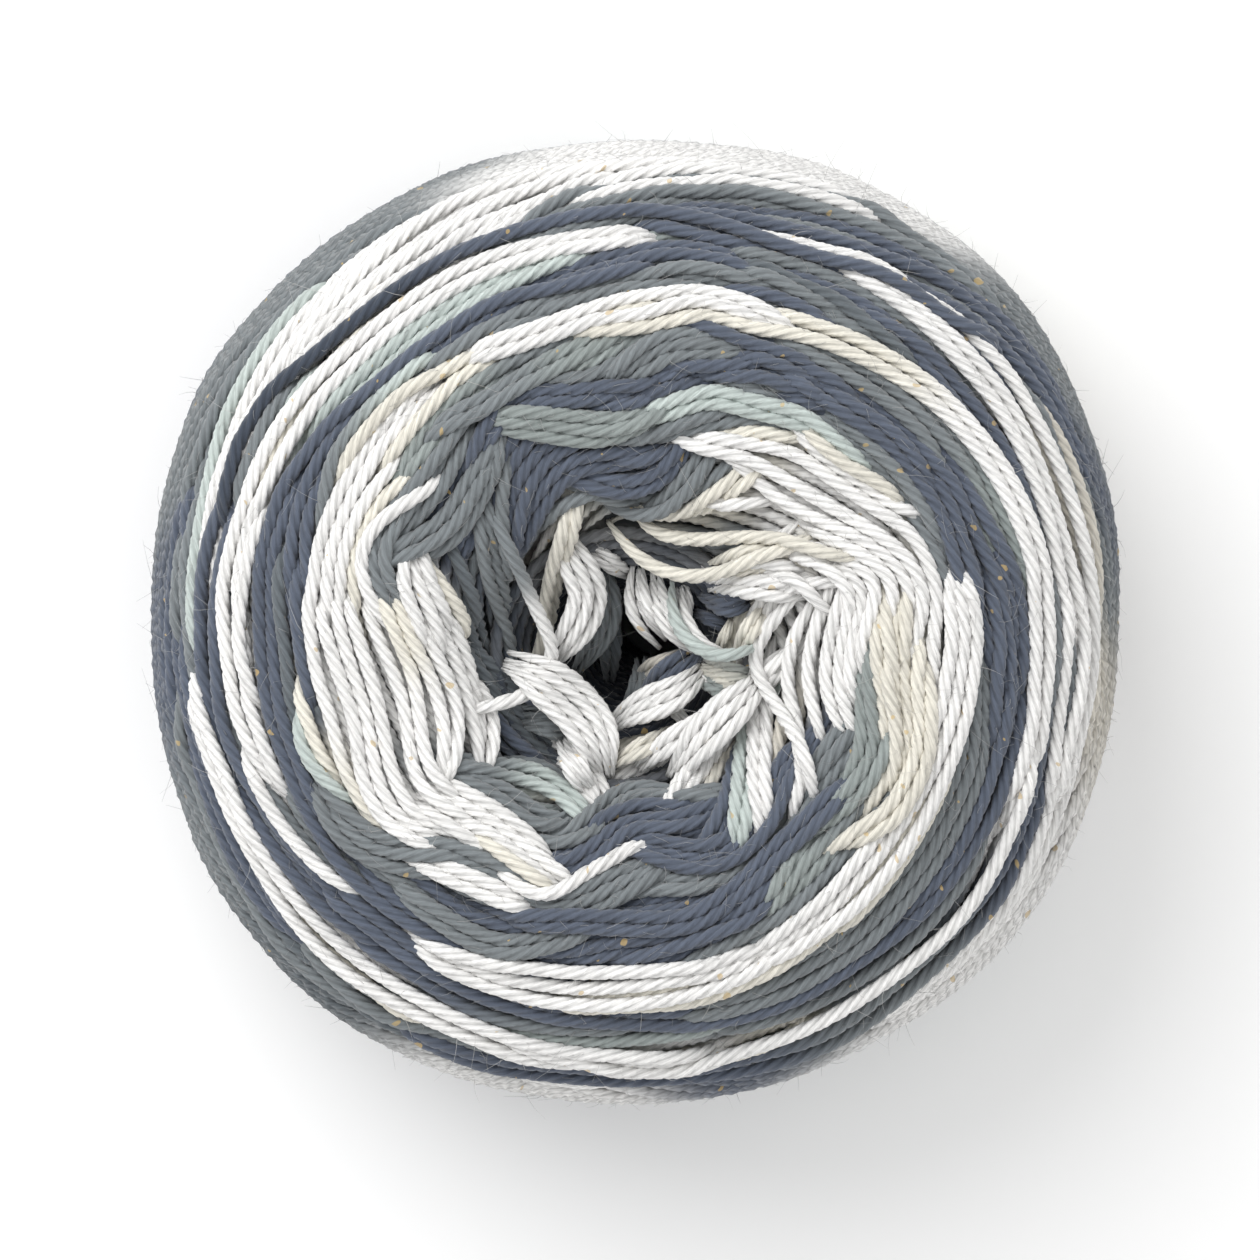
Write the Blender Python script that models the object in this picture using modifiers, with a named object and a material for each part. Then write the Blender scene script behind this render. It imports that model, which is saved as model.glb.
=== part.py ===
"""A cake of cotton yarn: one wound body, 130 mm across, with a slack, open middle.

The body is a ring-shaped solid. A closed profile is turned about the cake's axis,
and its points are then moved to give the uneven outline, the crossing lay of the
windings, the main locks of loose strands round the mouth, and the throat that the
winder's spindle left, which runs crooked from the top to the sole.
"""

import math

import bpy
from mathutils import Vector

MM = 0.001

# Driving sizes, in millimetres.
BODY_RADIUS = 64.5
BODY_HEIGHT = 78.0

# How finely the body is faceted: its sides round the axis, and the length of a facet
# down the profile on the top, on the wall, and on the sole and in the throat.
SIDES = 112
TOP_STEP = 2.5
WALL_STEP = 4.6
HIDDEN_STEP = 8.5

# The turned profile, down the outside, in along the sole, up the throat and over the top.
# "radius" is a share of BODY_RADIUS, "height" a share of BODY_HEIGHT, and "step" the
# length of the facets that follow.
PROFILE = (
    {"place": "crest", "radius": 0.60, "height": 0.985, "step": TOP_STEP},
    {"place": "top slope", "radius": 0.74, "height": 0.955, "step": TOP_STEP},
    {"place": "shoulder", "radius": 0.87, "height": 0.875, "step": TOP_STEP},
    {"place": "shoulder edge", "radius": 0.965, "height": 0.745, "step": WALL_STEP},
    {"place": "wall top", "radius": 0.998, "height": 0.60, "step": WALL_STEP},
    {"place": "belly", "radius": 1.0, "height": 0.44, "step": WALL_STEP},
    {"place": "wall foot", "radius": 0.985, "height": 0.26, "step": WALL_STEP},
    {"place": "foot round", "radius": 0.93, "height": 0.09, "step": WALL_STEP},
    {"place": "foot", "radius": 0.84, "height": 0.012, "step": WALL_STEP},
    {"place": "sole", "radius": 0.76, "height": 0.0, "step": HIDDEN_STEP},
    {"place": "sole middle", "radius": 0.50, "height": 0.0, "step": HIDDEN_STEP},
    {"place": "sole inner edge", "radius": 0.24, "height": 0.0, "step": WALL_STEP},
    {"place": "sole mouth", "radius": 0.145, "height": 0.05, "step": HIDDEN_STEP},
    {"place": "throat low", "radius": 0.095, "height": 0.20, "step": HIDDEN_STEP},
    {"place": "throat middle", "radius": 0.085, "height": 0.42, "step": WALL_STEP},
    {"place": "throat high", "radius": 0.115, "height": 0.61, "step": WALL_STEP},
    {"place": "funnel", "radius": 0.195, "height": 0.77, "step": TOP_STEP},
    {"place": "funnel lip", "radius": 0.31, "height": 0.895, "step": TOP_STEP},
    {"place": "inner shelf", "radius": 0.43, "height": 0.965, "step": TOP_STEP},
)
SOLE_HEIGHT = 1.2
SOLE_FADE = 7.0

# The outline seen from above is not round: its radius at each angle.
OUTLINE = (
    {"angle": 0, "radius": 64.5},
    {"angle": 22, "radius": 66.2},
    {"angle": 42, "radius": 67.6},
    {"angle": 62, "radius": 66.4},
    {"angle": 90, "radius": 64.4},
    {"angle": 125, "radius": 65.4},
    {"angle": 148, "radius": 66.2},
    {"angle": 178, "radius": 64.4},
    {"angle": 222, "radius": 65.9},
    {"angle": 270, "radius": 63.9},
    {"angle": 300, "radius": 64.2},
    {"angle": 322, "radius": 65.6},
)

# The throat's own middle at each height: it starts off the axis and leans as it goes down.
THROAT = (
    {"height": 0.0, "x": 5.5, "y": 1.5},
    {"height": 18.0, "x": 5.0, "y": 1.0},
    {"height": 36.0, "x": 1.5, "y": -1.8},
    {"height": 54.0, "x": -1.4, "y": -3.6},
    {"height": 78.0, "x": -1.8, "y": -3.8},
)
THROAT_FADE = (18.0, 42.0)

# The lay of the windings: long, low ridges that turn round the body.
LAY_TOP = {"arms": 7, "pitch": 9.5, "rise": 0.8, "from": 40.0}
LAY_WALL = {"arms": 9, "pitch": 16.0, "rise": 0.8}

# The main locks of loose strands on the top, each along points of (angle, radius).
LOCKS = (
    {"lock": "outer light fold", "width": 4.6, "rise": 1.6,
     "line": ((127, 41), (151, 40), (176, 40.5), (200, 39.5), (224, 38.5), (250, 37))},
    {"lock": "inner light fold", "width": 5.0, "rise": 2.8,
     "line": ((164, 32), (176, 28.5), (190, 26.5), (207, 28.5), (228, 31.5), (249, 34.5))},
    {"lock": "upper left fold", "width": 4.4, "rise": 2.8,
     "line": ((84, 35), (104, 34), (124, 33.5), (144, 33), (163, 32.5))},
    {"lock": "top ridge", "width": 4.2, "rise": 1.8,
     "line": ((38, 43), (62, 40), (84, 37.5), (106, 37), (122, 38))},
    {"lock": "top lens", "width": 4.2, "rise": 2.6,
     "line": ((44, 37), (64, 32), (82, 26.5), (104, 26), (120, 30))},
    {"lock": "inner arc", "width": 4.2, "rise": 2.2,
     "line": ((60, 23), (80, 20.5), (104, 20), (130, 21), (158, 22), (180, 23))},
    {"lock": "right fan", "width": 4.6, "rise": 2.4,
     "line": ((66, 26), (46, 28.5), (28, 34.5), (10, 40), (352, 42.5), (338, 43))},
    {"lock": "right mass", "width": 5.8, "rise": 2.8,
     "line": ((22, 25), (8, 29), (355, 31.5), (340, 31), (324, 28.5))},
    {"lock": "right outer fold", "width": 4.0, "rise": 1.6,
     "line": ((356, 37), (342, 38), (328, 38), (312, 37.5))},
    {"lock": "bottom fold", "width": 4.5, "rise": 2.8,
     "line": ((318, 29), (298, 26.5), (280, 25.5), (264, 27.5), (252, 33))},
    {"lock": "bottom left fold", "width": 4.2, "rise": 2.4,
     "line": ((222, 29), (236, 25), (252, 26.5), (266, 23.5), (286, 22.5))},
    {"lock": "bottom outer fold", "width": 4.4, "rise": 1.8,
     "line": ((330, 42), (308, 38), (288, 37), (268, 38), (250, 41.5))},
    {"lock": "left lobe in the mouth", "width": 4.0, "rise": 1.8,
     "line": ((196, 18), (216, 15.5), (238, 15.5), (256, 18))},
    {"lock": "lower lobe in the mouth", "width": 3.6, "rise": 1.6,
     "line": ((276, 19), (294, 19), (312, 19))},
)


def smoothstep(low, high, value):
    share = min(max((value - low) / (high - low), 0.0), 1.0)
    return share * share * (3.0 - 2.0 * share)


def spline_point(a, b, c, d, share):
    """A point between b and c on the smooth curve through a, b, c and d."""
    return 0.5 * (
        2.0 * b
        + (c - a) * share
        + (2.0 * a - 5.0 * b + 4.0 * c - d) * share ** 2
        + (3.0 * b - a - 3.0 * c + d) * share ** 3
    )


def smooth_line(points, step):
    """Points about one step apart along a smooth curve through the given points."""
    last = len(points) - 1
    made = []
    for i in range(last):
        a, b, c, d = (points[min(max(i + k, 0), last)] for k in (-1, 0, 1, 2))
        pieces = max(1, round((c - b).length / step))
        made += [spline_point(a, b, c, d, k / pieces) for k in range(pieces)]
    return made + [points[-1]]


def smooth_ring(points, steps):
    """Points along a smooth closed curve through the given points, each stretch at its own step."""
    count = len(points)
    made = []
    for i, step in enumerate(steps):
        a, b, c, d = (points[(i + k) % count] for k in (-1, 0, 1, 2))
        pieces = max(1, round((c - b).length / step))
        made += [spline_point(a, b, c, d, k / pieces) for k in range(pieces)]
    return made


def on_plan(angle, radius):
    turn = math.radians(angle)
    return Vector((radius * math.cos(turn), radius * math.sin(turn), 0.0))


def outline_radius(angle):
    """The outline's radius at an angle in degrees, smooth between the table's rows."""
    rows = [(row["angle"], row["radius"]) for row in OUTLINE]
    rows.append((rows[0][0] + 360, rows[0][1]))
    angle %= 360
    for (low, before), (high, after) in zip(rows, rows[1:]):
        if low <= angle <= high:
            return before + (after - before) * smoothstep(low, high, angle)
    return BODY_RADIUS


def throat_middle(height):
    """The throat's middle at a height, smooth between the table's rows."""
    rows = [(row["height"], Vector((row["x"], row["y"], 0.0))) for row in THROAT]
    for (low, before), (high, after) in zip(rows, rows[1:]):
        if height <= high:
            return before.lerp(after, smoothstep(low, high, height))
    return rows[-1][1]


def lock_relief(point, lines):
    """How far the locks lift the top at a point of the plan."""
    lift = 0.0
    for row, line in zip(LOCKS, lines):
        near = min((point - other).length for other in line)
        if near < row["width"]:
            lift = max(lift, row["rise"] * math.cos(0.5 * math.pi * near / row["width"]) ** 2)
    return lift


def ridge(phase):
    """A ridge for each turn of the phase, from -1 in a narrow valley to 1 on a broad crest."""
    return 2.0 * abs(math.cos(0.5 * phase)) - 1.0


def lay_on_top(angle, radius):
    """Spiral ridges of the windings on the shoulder, in from the edge as the angle grows."""
    phase = 2.0 * math.pi * radius / LAY_TOP["pitch"] + LAY_TOP["arms"] * angle
    share = smoothstep(LAY_TOP["from"] - 6.0, LAY_TOP["from"] + 6.0, radius)
    return LAY_TOP["rise"] * ridge(phase) * share


def lay_on_wall(angle, height):
    """Ridges of the windings that cross each other on the outer wall."""
    climb = 2.0 * math.pi * height / LAY_WALL["pitch"]
    turn = LAY_WALL["arms"] * angle
    return LAY_WALL["rise"] * max(ridge(climb + turn), ridge(climb - turn)) - 0.5 * LAY_WALL["rise"]


def shaped(place, normal, lines):
    """Where a point of the plain turned body goes, in millimetres."""
    radius = math.hypot(place.x, place.y)
    angle = math.atan2(place.y, place.x)
    height = place.z
    uneven = outline_radius(math.degrees(angle)) / BODY_RADIUS
    outer_share = smoothstep(0.5 * BODY_RADIUS, BODY_RADIUS, radius)
    grown = radius * (1.0 + (uneven - 1.0) * outer_share)
    moved = Vector((grown * math.cos(angle), grown * math.sin(angle), height))
    moved += throat_middle(height) * (1.0 - smoothstep(*THROAT_FADE, radius))
    above_sole = smoothstep(SOLE_HEIGHT, SOLE_HEIGHT + SOLE_FADE, height)
    on_top = smoothstep(0.2, 0.75, normal.z)
    on_wall = (1.0 - on_top) * smoothstep(0.55 * BODY_RADIUS, 0.8 * BODY_RADIUS, radius)
    lift = on_wall * lay_on_wall(angle, height)
    if on_top > 0.0:
        lift += on_top * (lock_relief(moved.xy.to_3d(), lines) + lay_on_top(angle, grown))
    return moved + normal * (lift * above_sole)


def turned_body(collection):
    """The closed profile, turned about the axis by a Screw modifier and made a mesh."""
    corners = [
        Vector((row["radius"] * BODY_RADIUS, 0.0, row["height"] * BODY_HEIGHT)) for row in PROFILE
    ]
    line = smooth_ring(corners, [row["step"] for row in PROFILE])
    for point in line:
        if point.z < SOLE_HEIGHT * 0.5:
            point.z = 0.0
    mesh = bpy.data.meshes.new("profile")
    edges = [(i, (i + 1) % len(line)) for i in range(len(line))]
    mesh.from_pydata([point * MM for point in line], edges, [])
    profile = bpy.data.objects.new("profile", mesh)
    collection.objects.link(profile)
    screw = profile.modifiers.new("turn", "SCREW")
    screw.axis = "Z"
    screw.steps = screw.render_steps = SIDES
    screw.use_merge_vertices = True
    screw.merge_threshold = 0.0001
    made = as_mesh(profile, "yarn_cake", collection)
    return made


def as_mesh(source, name, collection):
    """A mesh object with the evaluated shape of the source, which is then removed."""
    graph = bpy.context.evaluated_depsgraph_get()
    graph.update()
    mesh = bpy.data.meshes.new_from_object(source.evaluated_get(graph))
    made = bpy.data.objects.new(name, mesh)
    made.matrix_world = source.matrix_world.copy()
    collection.objects.link(made)
    bpy.data.objects.remove(source)
    mesh.name = name
    return made


def shape_body(body):
    """Moves the turned body's points to the wound form."""
    lines = [smooth_line([on_plan(*point) for point in row["line"]], 1.5) for row in LOCKS]
    mesh = body.data
    normals = [vertex.normal.copy() for vertex in mesh.vertices]
    for vertex, normal in zip(mesh.vertices, normals):
        vertex.co = shaped(vertex.co / MM, normal, lines) * MM
    mesh.update()


def centre_on_axis(body):
    """Brings the middle of the body's outline onto the vertical axis."""
    points = [vertex.co for vertex in body.data.vertices]
    middle = [0.5 * (min(p[i] for p in points) + max(p[i] for p in points)) for i in (0, 1)]
    for point in points:
        point.x -= middle[0]
        point.y -= middle[1]


def yarn_material():
    """Soft undyed and grey-blue cotton, shown here as one middle tone."""
    material = bpy.data.materials.new("dyed_cotton")
    material.use_nodes = True
    shader = material.node_tree.nodes["Principled BSDF"]
    shader.inputs["Base Color"].default_value = (0.42, 0.44, 0.47, 1.0)
    shader.inputs["Roughness"].default_value = 0.9
    shader.inputs["Metallic"].default_value = 0.0
    return material


def new_collection(name):
    made = bpy.data.collections.new(name)
    bpy.context.scene.collection.children.link(made)
    return made


def main():
    for old in list(bpy.data.objects):
        bpy.data.objects.remove(old)
    parts = new_collection("yarn_cake")
    body = turned_body(parts)
    shape_body(body)
    centre_on_axis(body)
    body.data.materials.append(yarn_material())
    body.data.shade_smooth()


main()
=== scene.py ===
"""A centre-pull cake of dyed cotton yarn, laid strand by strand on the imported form."""

import math
import random
from functools import lru_cache
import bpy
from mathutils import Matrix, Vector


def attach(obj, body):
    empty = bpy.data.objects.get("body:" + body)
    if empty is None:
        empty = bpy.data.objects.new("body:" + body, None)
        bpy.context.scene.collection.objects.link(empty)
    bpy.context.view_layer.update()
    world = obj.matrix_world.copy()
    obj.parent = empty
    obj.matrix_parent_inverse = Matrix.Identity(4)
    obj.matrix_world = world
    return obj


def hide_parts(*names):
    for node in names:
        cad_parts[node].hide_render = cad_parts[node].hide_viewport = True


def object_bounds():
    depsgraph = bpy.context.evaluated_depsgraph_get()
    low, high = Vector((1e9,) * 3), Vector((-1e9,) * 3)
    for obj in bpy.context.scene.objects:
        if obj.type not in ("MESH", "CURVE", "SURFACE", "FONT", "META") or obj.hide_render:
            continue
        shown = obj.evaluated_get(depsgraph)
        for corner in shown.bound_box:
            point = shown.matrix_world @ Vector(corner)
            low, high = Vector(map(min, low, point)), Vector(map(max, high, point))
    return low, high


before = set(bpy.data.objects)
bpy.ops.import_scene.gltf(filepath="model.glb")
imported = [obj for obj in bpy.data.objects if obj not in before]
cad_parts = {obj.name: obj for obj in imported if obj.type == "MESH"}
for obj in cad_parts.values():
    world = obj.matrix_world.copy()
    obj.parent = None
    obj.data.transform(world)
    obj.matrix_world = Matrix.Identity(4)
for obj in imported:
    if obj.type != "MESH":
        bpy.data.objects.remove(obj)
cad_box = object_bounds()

from types import SimpleNamespace

import bmesh
import bpy
import numpy as np
from bpy.props import FloatProperty, FloatVectorProperty, IntProperty, PointerProperty
from bpy.types import Operator, Panel, PropertyGroup
from mathutils import Vector
from mathutils.bvhtree import BVHTree
from mathutils.interpolate import poly_3d_calc
from mathutils.kdtree import KDTree

bl_info = {
    "name": "Yarn Cake",
    "version": (1, 0, 0),
    "blender": (4, 5, 0),
    "location": "3D View > Sidebar > Yarn Cake",
    "description": "Winds a cake of dyed cotton yarn, strand by strand",
    "category": "Add Mesh",
}

NODE = "yarn_cake"
BODY = "root"
MM = 0.001
SEED = 41


def srgb(red, green, blue):
    """A colour given as a screen shows it, 0 to 255, as Blender's linear colour."""
    def linear(value):
        part = value / 255
        return part / 12.92 if part <= 0.04045 else ((part + 0.055) / 1.055) ** 2.4
    return (linear(red), linear(green), linear(blue))


def dye_prop(label, *shown):
    """A dye as a colour property."""
    return FloatVectorProperty(name=label, description=f"Dye of the {label.lower()} stretches",
                               subtype="COLOR", size=3, min=0, max=1, default=srgb(*shown))


def length_prop(label, description, millimetres):
    """A length property, with its default given in millimetres."""
    return FloatProperty(name=label, description=description, subtype="DISTANCE", unit="LENGTH",
                         precision=5, default=millimetres * MM, min=0)


class DyeSettings(PropertyGroup):
    """The dyes along the yarn."""
    white: dye_prop("White", 244, 243, 241)
    cream: dye_prop("Cream", 232, 228, 216)
    ecru: dye_prop("Ecru", 216, 211, 200)
    mint: dye_prop("Mint", 192, 202, 198)
    sage: dye_prop("Sage", 150, 158, 156)
    grey: dye_prop("Grey", 126, 132, 135)
    dark: dye_prop("Dark grey", 104, 111, 116)
    slate: dye_prop("Slate", 91, 99, 114)
    deep: dye_prop("Deep slate", 66, 74, 87)


class YarnSettings(PropertyGroup):
    """The make of the yarn."""
    thickness: length_prop("Thickness", "Width of one strand", 2.0)
    pitch: length_prop("Ply pitch", "Length of strand for one turn of a ply", 10.5)
    plies: IntProperty(name="Plies", description="Plies twisted into the yarn", default=4, min=2, max=8)
    valley: FloatProperty(name="Valley", description="Radius between two plies, as a share of the full one",
                          subtype="FACTOR", default=0.7, min=0.5, max=1)
    fibre_depth: length_prop("Fibre depth", "Depth of the fibre bump", 0.09)


class WindingSettings(PropertyGroup):
    """How the yarn is wound."""
    spacing: length_prop("Spacing", "Distance from one turn to the next", 1.9)
    core_depth: length_prop("Core depth", "Depth of the hidden core under the surface", 4.2)
    dye_repeat: length_prop("Dye repeat", "Length of yarn from one white stretch to the next", 392)
    arms: IntProperty(name="Arms", description="Spiral arms of the underlying turns", default=24, min=4)
    wall_slope: FloatProperty(name="Wall slope", description="Climb of the turns on the wall",
                              subtype="ANGLE", unit="ROTATION", default=math.radians(18), min=0.05, max=1)
    hairs: IntProperty(name="Hairs", description="Loose fibre ends that stand off the yarn of the top",
                       default=3200, min=0)


class StageSettings(PropertyGroup):
    """Floor, light and camera."""
    floor: FloatVectorProperty(name="Floor", description="Colour of the floor", subtype="COLOR", size=3,
                               min=0, max=1, default=srgb(254, 254, 254))
    lamp: FloatProperty(name="Lamp", description="Power of the soft lamp", subtype="POWER",
                        default=8.4, min=0)
    sky: FloatProperty(name="Sky", description="Strength of the even light all round", default=0.84, min=0)
    tilt: FloatProperty(name="Tilt", description="Lean of the view from straight above", subtype="ANGLE",
                        unit="ROTATION", default=math.radians(4))
    distance: length_prop("Distance", "From the camera to the cake's belly", 1500)
    field: length_prop("Field", "Width of the frame at the belly", 170.1)


def settings():
    """The settings of this scene."""
    scene = bpy.context.scene
    return SimpleNamespace(dye=scene.yarn_dye, yarn=scene.yarn_make, wind=scene.yarn_wind,
                           stage=scene.yarn_stage)


def in_mm(length):
    """A length property in millimetres."""
    return length / MM


# Where the photo's frame lies: the cake's middle in it, and the height of the plane its width is read in.
FRAME_PIXELS = 1260
MIDDLE_PIXEL = (634.5, 621.5)
BELLY = 38.0


def view_axes():
    """The camera's place and its right and up axes, in millimetres."""
    stage = settings().stage
    tilt = stage.tilt
    back = Vector((0, math.sin(tilt), math.cos(tilt)))
    right = Vector((1, 0, 0))
    up = back.cross(right)
    pixel = in_mm(stage.field) / FRAME_PIXELS
    aside = (FRAME_PIXELS / 2 - MIDDLE_PIXEL[0]) * pixel
    above = (MIDDLE_PIXEL[1] - FRAME_PIXELS / 2) * pixel
    middle = Vector((0, 0, BELLY))
    eye = middle + back * in_mm(stage.distance) + right * aside + up * above
    return eye, right, up, middle


class Form:
    """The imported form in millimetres, merged and evened out, and the rays that find its surface."""

    def __init__(self, rounds):
        body = bmesh.new()
        body.from_mesh(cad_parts[NODE].data)
        bmesh.ops.scale(body, vec=(1 / MM,) * 3, verts=body.verts)
        bmesh.ops.remove_doubles(body, verts=body.verts, dist=0.01)
        for _ in range(rounds):
            bmesh.ops.smooth_vert(body, verts=body.verts, factor=0.5,
                                  use_axis_x=True, use_axis_y=True, use_axis_z=True)
        body.normal_update()
        self.corners = [[v.co.copy() for v in face.verts] for face in body.faces]
        self.normals = [[v.normal.copy() for v in face.verts] for face in body.faces]
        self.tree = BVHTree.FromBMesh(body)
        body.free()

    def hit(self, origin, direction):
        """The first point that the ray meets and the smooth normal there, or None."""
        place, _, face, _ = self.tree.ray_cast(origin, direction)
        if place is None:
            return None
        shares = poly_3d_calc(self.corners[face], place)
        normal = sum((n * share for n, share in zip(self.normals[face], shares)), Vector())
        return place, normal.normalized()


# Rounds of evening out, so that the strands lie smoothly over the facets.
FORM_ROUNDS = 4


@lru_cache(maxsize=None)
def form():
    """The evened form, made once."""
    return Form(FORM_ROUNDS)


# A ray that passes the outline is tried again at these shares of its distance from the middle. One that
# falls into the throat isn't.
DRAW_IN = np.linspace(1, 0.9, 14)
THROAT_REACH = 30.0


def seen_points(flat):
    """Where the camera's rays through points of the reading plane meet the form, with the normals."""
    eye, right, up, middle = view_axes()
    places, normals = [], []
    for across, along in flat:
        out = math.hypot(across, along)
        for shrink in DRAW_IN if out > THROAT_REACH else (1.0,):
            through = middle + right * across * shrink + up * along * shrink
            found = form().hit(eye, (through - eye).normalized())
            if found:
                break
        if not found:
            found = (middle + right * across + up * along, Vector((0, 0, 1)))
        places.append(found[0])
        normals.append(found[1])
    return np.array(places), np.array(normals)


# Below this height a strand would lie on the wall. The rim is looked for between two radii, in steps,
# and strands of the top ease in over the last millimetres before it.
RIM_LOW = 56.0
RIM_SEARCH = (54.0, 68.0, 0.25)
RIM_EASE = 3.0


@lru_cache(maxsize=None)
def rim_reach():
    """How far out the reading plane shows the top and not yet the wall, a value for each degree."""
    reach = []
    radii = np.arange(*RIM_SEARCH)
    for degree in range(360):
        out = np.array([math.cos(math.radians(degree)), math.sin(math.radians(degree))])
        places, _ = seen_points(radii[:, None] * out)
        reach.append(radii[np.argmin(places[:, 2] > RIM_LOW)])
    reach = evened(np.array(reach), 4)
    return np.append(reach, reach[0])


def kept_on_top(flat):
    """The points of the reading plane, with those that would run down over the wall drawn in."""
    out = np.hypot(flat[:, 0], flat[:, 1])
    limit = np.interp(np.degrees(np.arctan2(flat[:, 1], flat[:, 0])) % 360, range(361), rim_reach())
    past = np.clip(out - (limit - RIM_EASE), 0, None)
    drawn = out - past + RIM_EASE * (1 - np.exp(-past / RIM_EASE))
    return flat * (drawn / np.maximum(out, 1))[:, None]


def polar_points(text):
    """The points of a line written as 'degrees,millimetres' pairs, in the reading plane."""
    pairs = [pair.split(",") for pair in text.split()]
    turn = np.radians([float(angle) for angle, _ in pairs])
    out = np.array([float(radius) for _, radius in pairs])
    return np.stack([out * np.cos(turn), out * np.sin(turn)], axis=1)


# Points between two given ones, before the curve's points are spaced evenly.
CURVE_STEPS = 12


def smooth_curve(points, spacing):
    """Evenly spaced points on a smooth curve (Catmull-Rom) through the given points."""
    first = 2 * points[0] - points[1]
    last = 2 * points[-1] - points[-2]
    knots = np.concatenate([[first], points, [last]])
    steps = np.linspace(0, 1, CURVE_STEPS, endpoint=False)[:, None]
    pieces = []
    for a, b, c, d in zip(knots, knots[1:], knots[2:], knots[3:]):
        pieces.append(0.5 * (2 * b + (c - a) * steps + (2 * a - 5 * b + 4 * c - d) * steps ** 2
                             + (3 * b - a - 3 * c + d) * steps ** 3))
    pieces.append(points[-1:])
    return even_points(np.concatenate(pieces), spacing)


def even_points(points, spacing):
    """The same line with its points a fixed distance apart."""
    gaps = np.linalg.norm(np.diff(points, axis=0), axis=1)
    run = np.concatenate([[0], np.cumsum(gaps)])
    count = max(3, int(run[-1] / spacing) + 1)
    wanted = np.linspace(0, run[-1], count)
    return np.stack([np.interp(wanted, run, column) for column in points.T], axis=1)


def unit(vectors):
    """The vectors at length 1."""
    return vectors / np.maximum(np.linalg.norm(vectors, axis=1, keepdims=True), 1e-9)


def evened(values, rounds=1):
    """Each value drawn towards its neighbours', with the ends kept."""
    values = values.copy()
    for _ in range(rounds):
        values[1:-1] += 0.5 * ((values[:-2] + values[2:]) / 2 - values[1:-1])
    return values


# The locks that lie on the top, read one by one: dye, strands side by side, lift in steps over the turns
# beneath, and the middle of the lock as 'degrees,millimetres' round the cake's middle. A dye may
# change along a lock, as in 'grey>slate@14', which turns slate at 14 degrees.
OUTER_RIGHT = (
    ("ecru", 2, 0, "-10,64 3,63.3 15,62.3 28,61.7"),
    ("grey", 2, 0, "4,64.6 14,64.2 24,63 34,61.4 42,60"),
    ("white", 3, 0.6, "-18,60.5 -2,60 13,59 28,58.7 38,58 48,57 56,56.3"),
    ("white", 1, 0.6, "50,57.9 55,57.2 60,56.2 65,55.6 70,54.8 73,54.4"),
    ("slate", 4, 0, "20,65 32,63.5 44,61.5 56,59.3 66,57.3 76,55.6 84,54.9"),
    ("slate>deep@120", 1, 0.8, "38,60.5 43,59.2 48,58 53,57 58,55.5 63,54.5 68,54 78,54.8 88,55.2 93,54.8"
     " 103,54.6 113,54.8 123,55 133,55.3 143,56.6 149,57.5 155,57.4 163,57.3"),
    ("grey", 3, 0, "28,65.8 40,65 52,63.2 64,61 76,58.8 88,56.8 100,55.3 108,54.8"),
    ("grey", 2, 0.3, "43,65.3 53,64 63,62.4 73,60.8 83,59 93,57.5 103,55.6"),
    ("grey>slate@14", 2, 0, "-8,58.5 3,57 13,55.8 24,54.7 36,53.6 46,52.8 54,51.6"),
    ("grey", 1, 0.3, "40,55.8 53,54.6 63,53.2 73,52.2"),
    ("slate", 1, 0, "43,54 50,53 58,52 66,51.2"),
    ("dark", 1, 0, "43,52.3 53,51.6 63,51 73,51"),
    ("slate", 1, 0, "43,50.8 50,50 58,49 66,48 73,47.5"),
    ("grey", 2, 0, "53,50.5 63,49.6 73,48.8 83,48.5"),
    ("white>cream@38", 2, 0.8, "-22,56.2 -15,55.5 -2,54.8 8,54.4 18,53.5 28,52 38,50.3 48,47.9 58,45.9"
     " 68,43.8 78,42 84,41 90,40.4 96,40"),
    ("sage>grey@24", 3, 0, "8,51.8 18,50.2 28,48.6 38,47.3 48,46.2 60,44"),
    ("slate", 4, 0, "-8,50.5 3,49 13,47.2 23,45.8 33,44.3 43,42.8 53,41.8 63,40 73,38.5"),
    ("slate", 2, 0, "-2,46.3 8,45 18,44.3 28,43.3 38,41.6 48,40.6 58,39.5 68,37 78,35"),
    ("grey", 2, 0, "8,43.8 18,42.3 28,41 38,39 48,38.4 58,37 68,36"),
    ("slate", 1, 0.4, "58,41 68,39.8 78,40.2 84,40.6"),
)
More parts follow.
